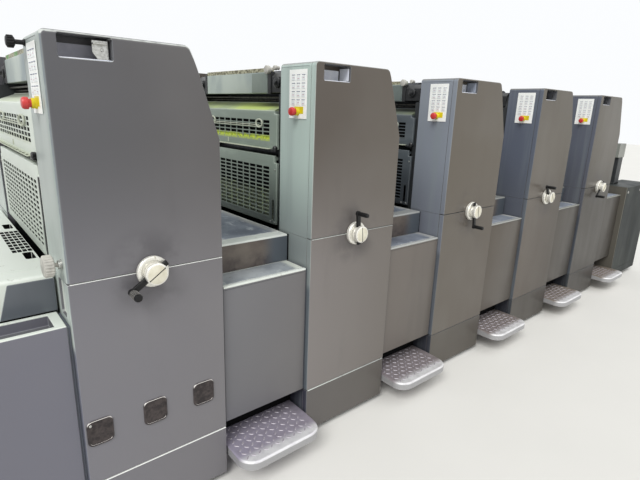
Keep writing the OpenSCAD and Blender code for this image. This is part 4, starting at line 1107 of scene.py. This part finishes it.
# Three cover plates low on the first unit.
for number, x in ((1, 42), (2, 202), (3, 362)):
    plate = block(f"cover_plate_{number}", (x - 36, -4.5, 339), (x + 36, 0.5, 421))
    rounded(plate, 17, 6, lambda place, way: abs(way.y) > 0.9)
    rounded(plate, 3.4, 3, lambda place, way: place.y < -4.4)
    pick(plate, "FACE", lambda place, normal: normal.y < -0.99)
    bpy.ops.mesh.inset(thickness=0.0022)
    bpy.ops.mesh.extrude_region_move(TRANSFORM_OT_translate={"value": (0, 0.0014, 0)})
    done()
    fit(eased(plate, 0.5, 2), plate_black, press, "cover_plates", "plate_black")
screw = turned("plate_screw", (16, -3, 409), (0, -1, 0), [(-1, 4), (1.6, 4), (2.4, 3)], 16)
fit(screw, screw_steel, press, (), "plate_black")

# Vented deck beside the first unit.
deck = block("vented_deck_body", (-190, riser, 716), (-8, far_riser, deck_top))
trimmed(deck, (-190, 0, 716), Vector((-113, 0, 34)).normalized())
rounded(deck, 12, 4, lambda place, way: place.z > deck_top - 1 and (place.y < riser + 1 or place.x < -150))
for x, y in ((vent_slots[0], vent_slots[2]), (vent_slots[0], vent_slots[3])):
    slot = block("slot", (x - 2, y - 2, deck_top - 27), (vent_slots[1] + 2, y + vent_slots[4] + 2, deck_top + 5))
    cut(deck, rounded(slot, 7, 3, lambda place, way: abs(way.z) > 0.9))
grid = block("grid", (-64, 399, deck_top - 8), (-52, 432.5, deck_top + 4))
cut(deck, spread(spread(grid, 4, x=14.2), 8, y=38.4))
fold = block("fold", (-170, 205, deck_top - 1.2), (-6, 206.6, deck_top + 3))
deck = eased(cut(deck, fold), 1, 1)
fit(deck, deck_grey, press, "vented_deck", "deck_grey")
# Black linings in the vent slots, on the grid's floor and along the deck's front: painted shade.
vent_shadows = [eased(block("floor", (-65, 398, deck_top - 8), (-9, 703, deck_top - 4)), 0.4, 1)]
for y in vent_slots[2:4]:
    liner = block("liner", (vent_slots[0] - 2.2, y - 2.2, deck_top - 27.2),
                  (vent_slots[1] + 2.2, y + vent_slots[4] + 2.2, deck_top - 1.2))
    vent_shadows.append(cut(liner, block("room", (vent_slots[0] - 0.4, y - 0.4, deck_top - 24.6),
                                   (vent_slots[1] + 0.4, y + vent_slots[4] + 0.4, deck_top + 5))))
vent_shadows.append(eased(block("line", (-150, riser - 2.6, 716.4), (-6, riser + 1, 721.4)), 0.4, 1))
fit(joined("vent_liners", *vent_shadows), deep_shadow, press, (), "deck_grey")
inset = block("vented_deck_front", (-145, riser - 2, 721), (-5, riser + 2, 817))
trimmed(inset, (-142, 0, 721), Vector((-98, 0, 27)).normalized())
fit(eased(inset, 3, 3), inset_grey, press, (), "panel_grey")

# Delivery: front and back panels with doors, the tool tray, walls, hood and roof.
for number, (y, face) in enumerate(((14, -1), (far_riser, 1)), 1):
    doors = []
    for start, end in ((-1650, -1112), (-1108, -562), (-558, -8)):
        door = block("door", (start, y, 116), (end, y + 119, 716))
        if face < 0 and end > -560:
            cut(door, block("tray", (-540, y + 15, 686), (-34, y + 104, 730)))
        elif face < 0 and end > -600:
            cut(door, block("tray", (-700, y + 15, 686), (-578, y + 104, 730)))
        doors.append(eased(door, 3, 3))
    doors.append(eased(block("plinth", (-1646, y + (10 if face < 0 else 0), 24), (-12, y + (119 if face < 0 else 109), 112)), 2))
    front = y if face < 0 else y + 119
    for x in (-1200, -650):
        grip = block("grip", (x, front - 6, 560), (x + 34, front + 6, 660))
        cut(doors[0 if x < -1000 else 1], rounded(grip, 8, 3, lambda place, way: abs(way.y) > 0.9))
    panel = joined(f"delivery_panel_{number}", *doors)
    fit(panel, panel_grey, press, "delivery_panels", "panel_grey")
rim = [eased(block("rim", low, high), 1.5, 2) for low, high in (
    ((-704, 15, 713), (-10, 29, 717.6)), ((-704, 118, 713), (-10, 131, 717.6)),
    ((-35, 28, 713), (-10, 119, 717.6)), ((-712, 15, 713), (-700, 131, 717.6)))]
fit(joined("tray_rim", *rim), deck_grey, press, (), "panel_grey")
strip = eased(block("delivery_filler", (-7.5, 19, 118), (-0.5, 130, 712)), 1)
fit(strip, filler_grey, press, (), "panel_grey")

for number, (y, outer) in enumerate(((riser, riser), (far_riser - 60, far_riser)), 1):
    wall = block(f"delivery_wall_{number}", (-1650, y, 60), (bay_end, y + 60, 1180))
    toward = -1 if outer == riser else 1
    for low, high in (((-1600, 760), (-940, 1130)), ((-1600, 110), (-940, 690))):
        panel = block("recess", (low[0], outer - 3, low[1]), (high[0], outer + 3, high[1]))
        cut(wall, rounded(panel, 14, 4, lambda place, way: abs(way.y) > 0.9))
    fit(eased(wall, 3, 2), covers_grey, press, "delivery_walls", "cover_grey")
    lamps = []
    for row in range(2):
        for column in range(4):
            lamps.append(turned("button", (-1520 + 60 * column, outer + 3 * -toward, 1070 - 60 * row), (0, toward, 0),
                                [(0, 14), (6, 14), (7, 11), (12, 11), (13, 9)], 20))
    fit(joined(f"delivery_buttons_{number}", *lamps), key_grey, press, (), "panel_white")
hood = block("delivery_hood_body", (bay_end, riser, 716), (-420, far_riser, 1216))
trimmed(hood, (-420, 0, deck_top), Vector((387, 0, 350)).normalized())
rounded(hood, 14, 4, lambda place, way: place.z > 1180 and abs(way.y) > 0.9)
fit(eased(hood, 3, 3), covers_grey, press, "delivery_hood", "cover_grey")
pane = block("hood_window", (-740, 300, 1182), (-300, 1000, 1188))
rounded(pane, 24, 4, lambda place, way: abs(way.z) > 0.9)
turned_about(eased(pane, 1.5, 2), (-770, 650, 1216), "Y", math.degrees(math.atan2(387, 350)))
middle = sum((vertex.co for vertex in pane.data.vertices), Vector()) / len(pane.data.vertices)
wanted = at(-595, 650, 1216 - 387 / 350 * 175)
pane.data.transform(Matrix.Translation((wanted.x - middle.x, 0, wanted.z - middle.z)))
fit(pane, void_black, press, (), "plate_black")
roof = eased(block("delivery_roof_body", (-1650, riser, 1180), (bay_end, far_riser, 1216)), 6, 3)
fit(roof, covers_grey, press, "delivery_roof", "cover_grey")

# Feeder: cabinets with doors, columns, the head with its suckers, and the feed board.
for number, (low_y, high_y, front) in enumerate(((-24, 200, -24), (1100, 1300, 1300)), 1):
    toward = -1 if front < 0 else 1
    shell = block("shell", (feeder_start, low_y, 40), (feeder_end, high_y, 784))
    for x in (4250,):
        cut(shell, block("seam", (x, front - 3, 100), (x + 3, front + 3, 790)))
    cut(shell, block("seam", (feeder_start - 5, front - 3, 98), (feeder_end + 5, front + 3, 101)))
    rounded(shell, 10, 4, lambda place, way: abs(way.z) > 0.9 and abs(place.y - front) < 1
            and (place.x < feeder_start + 1 or place.x > feeder_end - 1))
    fit(joined(f"feeder_cabinet_{number}", eased(shell, 2, 2)), feeder_grey, press, "feeder_cabinets", "panel_grey")
    locks = [turned("lock", (x, front, 746), (0, toward, 0), [(-1, 10), (2, 10), (3, 8), (4, 8)], 20)
             for x in (3996, 4270)]
    fit(joined(f"feeder_locks_{number}", *locks), screw_steel, press, (), "collar_silver")
    feet = [turned("foot", (x, (low_y + high_y) / 2, 0), (0, 0, 1), [(0, 42), (8, 42), (14, 30), (20, 14), (44, 14)], 24)
            for x in (4040, 4460)]
    fit(joined(f"feeder_feet_{number}", *feet), void_black, press, (), "foot_steel")

columns = []
for y in (120, 1100):
    column = eased(block("column", (4096, y, 784), (4186, y + 80, 1000)), 3, 2)
    collar = eased(block("flange", (4088, y - 0, 784), (4194, y + 80, 796)), 2, 2)
    columns += [column, collar]
fit(joined("feeder_columns_body", *columns), frame_iron, press, "feeder_columns", "frame_iron")
beam = block("feeder_head_body", (4076, 120, 1000), (4206, 1180, 1110))
groove = block("groove", (4070, 200, 1040), (4079, 1100, 1068))
groove_back = block("groove", (4203, 200, 1040), (4210, 1100, 1068))
fit(eased(cut(beam, groove, groove_back), 5, 3), deck_grey, press, "feeder_head", "deck_grey")
suckers = []
tube = turned("sucker", (4150, 320, 1004), (0, 0, -1), [(0, 11), (40, 11), (40, 7), (92, 7), (92, 12), (104, 12)], 18)
spread(tube, 8, y=78)
fit(tube, screw_steel, press, (), "duct_steel")
cups = turned("sucker_cup", (4150, 320, 902), (0, 0, -1), [(0, 9), (6, 13), (9, 13), (14, 17), (18, 19)], 18)
spread(cups, 8, y=78)
fit(cups, rubber, press, (), "roller_rubber")

level = block("feed_board_body", (3658, 240, 829), (3968, 960, 857))
ramp = block("ramp", (3967, 240, 829), (4056, 960, 857))
pick(ramp, "FACE", lambda place, normal: normal.x > 0.9)
bpy.ops.transform.translate(value=(0, 0, 0.060))
done()
fit(joined("feed_board_body", eased(level, 1.5), eased(ramp, 1.5)), duct_steel, press, "feed_board", "duct_steel")
tapes = []
for k in range(6):
    tapes.append(eased(block("tape", (3660, 300 + 110 * k, 857), (3966, 330 + 110 * k, 858.6)), 0.4, 1))
fit(joined("feed_tapes", *tapes), panel_white, press, (), "panel_white")
wheels = turned("wheel", (3800, 310, 880), (0, 1, 0), [(0, 20), (1, 21.4), (9, 21.4), (10, 20)], 28)
spread(wheels, 6, y=110)
shaft = rod("shaft", (3800, 244, 880), (3800, 956, 880), 7, 18)
fit(joined("feed_wheels", wheels, shaft), rubber, press, (), "roller_rubber")

# Pile boards of planks, and their hoist chains.
for number, (low, high) in enumerate((((-1600, 233, 240), (-940, 1067, 268)), ((4026, 240, 320), (4478, 1060, 348))), 1):
    width = (high[1] - low[1] - 7 * 3) / 8
    plank = block("plank", low, (high[0], low[1] + width, high[2] - 8))
    board = spread(eased(plank, 1.5, 2), 8, y=width + 3)
    top = block("skin", (low[0], low[1], high[2] - 9), (high[0], high[1], high[2]))
    fit(joined(f"pile_board_{number}", board, eased(top, 1.5, 2)), wood, press, "pile_boards", "board_wood")
for number, (xs, ys, low, high) in enumerate((
        ((-1580, -970), (193, 1067), 240, 1120), ((4046, 4448), (200, 1060), 320, 724)), 1):
    chains = []
    for x in xs:
        for y in ys:
            count = int((high - low) / 40)
            for offset in (0, 7):
                outer = block("link", (x + offset, y + 8, low), (x + offset + 3, y + 32, low + 44))
                rounded(outer, 9, 3, lambda place, way: abs(way.x) > 0.9)
                chains.append(spread(outer, count, z=40))
            pin = rod("pin", (x, y + 20, low + 3), (x + 10, y + 20, low + 3), 6, 10)
            chains.append(spread(pin, count, z=40))
    fit(joined(f"hoist_chain_{number}", *chains), chain_steel, press, "hoist_chains", "frame_iron")

# Closing sheets on the units' right sides.
sheet = block("rear_panel", (421, 205, 837), (431, 995, 1195))
slots = spread(spread(block("vent", (425, 280, 1010), (436, 322, 1018)), 13, y=50), 5, z=15)
cut(sheet, slots)
lip = eased(block("fold", (429, 205, 1180), (441, 995, 1195)), 1.5, 2)
along_row(joined("rear_panel", eased(sheet, 1.2, 1), lip), "rear_panel", guard_green, "rear_panels", "guard_green")

# Drive side covers with louvres, door seams and pulls.
for name, bottom, top, node in (("drive_upper_cover", seam + 3, cover_top, "drive_upper_covers"),
                                ("drive_lower_cover", 24, seam, "drive_lower_covers")):
    body = block(name, (0, drive_side, bottom), (cover_width, press_depth - 25, top))
    door = block("door", (0, press_depth - 24, bottom), (cover_width, press_depth, top))
    if bottom > 800:
        for part in (body, door):
            trimmed(part, (cover_width, 0, slope_start), slope_normal)
            rounded(part, 15, 5, lambda place, way: abs(way.y) > 0.9 and place.z > top - 3)
    rounded(door, 8, 4, lambda place, way: place.y > press_depth - 0.5 and abs(way.y) < 0.5 and place.z > top - 16)
    vents = block("vent", (90, press_depth - 10, top - 330), (250, press_depth + 5, top - 322))
    cut(door, spread(vents, 9, z=20))
    pull = block("pull", (300, press_depth - 12, top - 330), (340, press_depth + 5, top - 220))
    cut(door, rounded(pull, 10, 3, lambda place, way: abs(way.y) > 0.9))
    along_row(joined(name, eased(body, 1.6), eased(door, 1.6)), name, covers_grey, node, "cover_grey")

# Levelling feet.
feet = []
for x in [bay_end + 120] + [unit * pitch + cover_width / 2 for unit in range(units)] + [feeder_end - 180]:
    for y in (320, 880):
        feet.append(turned("foot", (x, y, 0), (0, 0, 1), [(0, 58), (2, 60), (9, 60), (14, 50), (22, 26), (22, 16),
                                                         (44, 16), (44, 24), (60, 24)], 28))
for y in (163, 1137):
    feet.append(turned("foot", (delivery_end + 120, y, 0), (0, 0, 1), [(0, 29), (2, 30), (10, 30), (16, 18), (60, 16)], 24))
fit(joined("levelling_feet_body", *feet), foot_steel, press, "levelling_feet", "foot_steel")

nodes["delivery_block"].data.materials.clear()
nodes["delivery_block"].data.materials.append(panel_grey)

# Stage: pale floor, soft lamps and an even surround.
bpy.ops.object.select_all(action="DESELECT")
bpy.ops.mesh.primitive_plane_add(size=60, location=(0, 0, 0))
floor = settled("floor")
floor_finish = Finish("floor_finish", roughness=0.8)
floor_finish.set("Base Color", floor_finish.mixed(floor_finish.noise(1.5, 4), tone(226, 225, 221), tone(218, 217, 213)))
floor.data.materials.append(floor_finish.material)

world = bpy.data.worlds.new("surround")
world.use_nodes = True
tree = world.node_tree
background = tree.nodes["Background"]
paths = tree.nodes.new("ShaderNodeLightPath")
shown = paths.outputs["Is Camera Ray"]
for ray in ("Is Glossy Ray", "Is Transmission Ray"):
    either = tree.nodes.new("ShaderNodeMath")
    either.operation = "MAXIMUM"
    tree.links.new(shown, either.inputs[0])
    tree.links.new(paths.outputs[ray], either.inputs[1])
    shown = either.outputs[0]
strength = tree.nodes.new("ShaderNodeMapRange")
tree.links.new(shown, strength.inputs[0])
strength.inputs[3].default_value = 0.62
strength.inputs[4].default_value = 1.0
tree.links.new(strength.outputs[0], background.inputs["Strength"])
background.inputs["Color"].default_value = (0.97, 0.985, 1.0, 1)
bpy.context.scene.world = world


def lamp(name, direction, strength, width, colour):
    light = bpy.data.lights.new(name, "SUN")
    light.energy = strength
    light.angle = math.radians(width)
    light.color = colour
    holder = bpy.data.objects.new(name, light)
    holder.matrix_world = Vector(direction).to_track_quat("Z", "Y").to_matrix().to_4x4()
    bpy.context.collection.objects.link(holder)


lamp("window_light", (-0.62, -0.36, 0.70), 2.0, 30, (1.0, 0.995, 0.97))
lamp("room_light", (0.35, -0.55, 0.76), 0.7, 60, (1.0, 0.98, 0.95))

bpy.context.scene.view_settings.view_transform = "Standard"
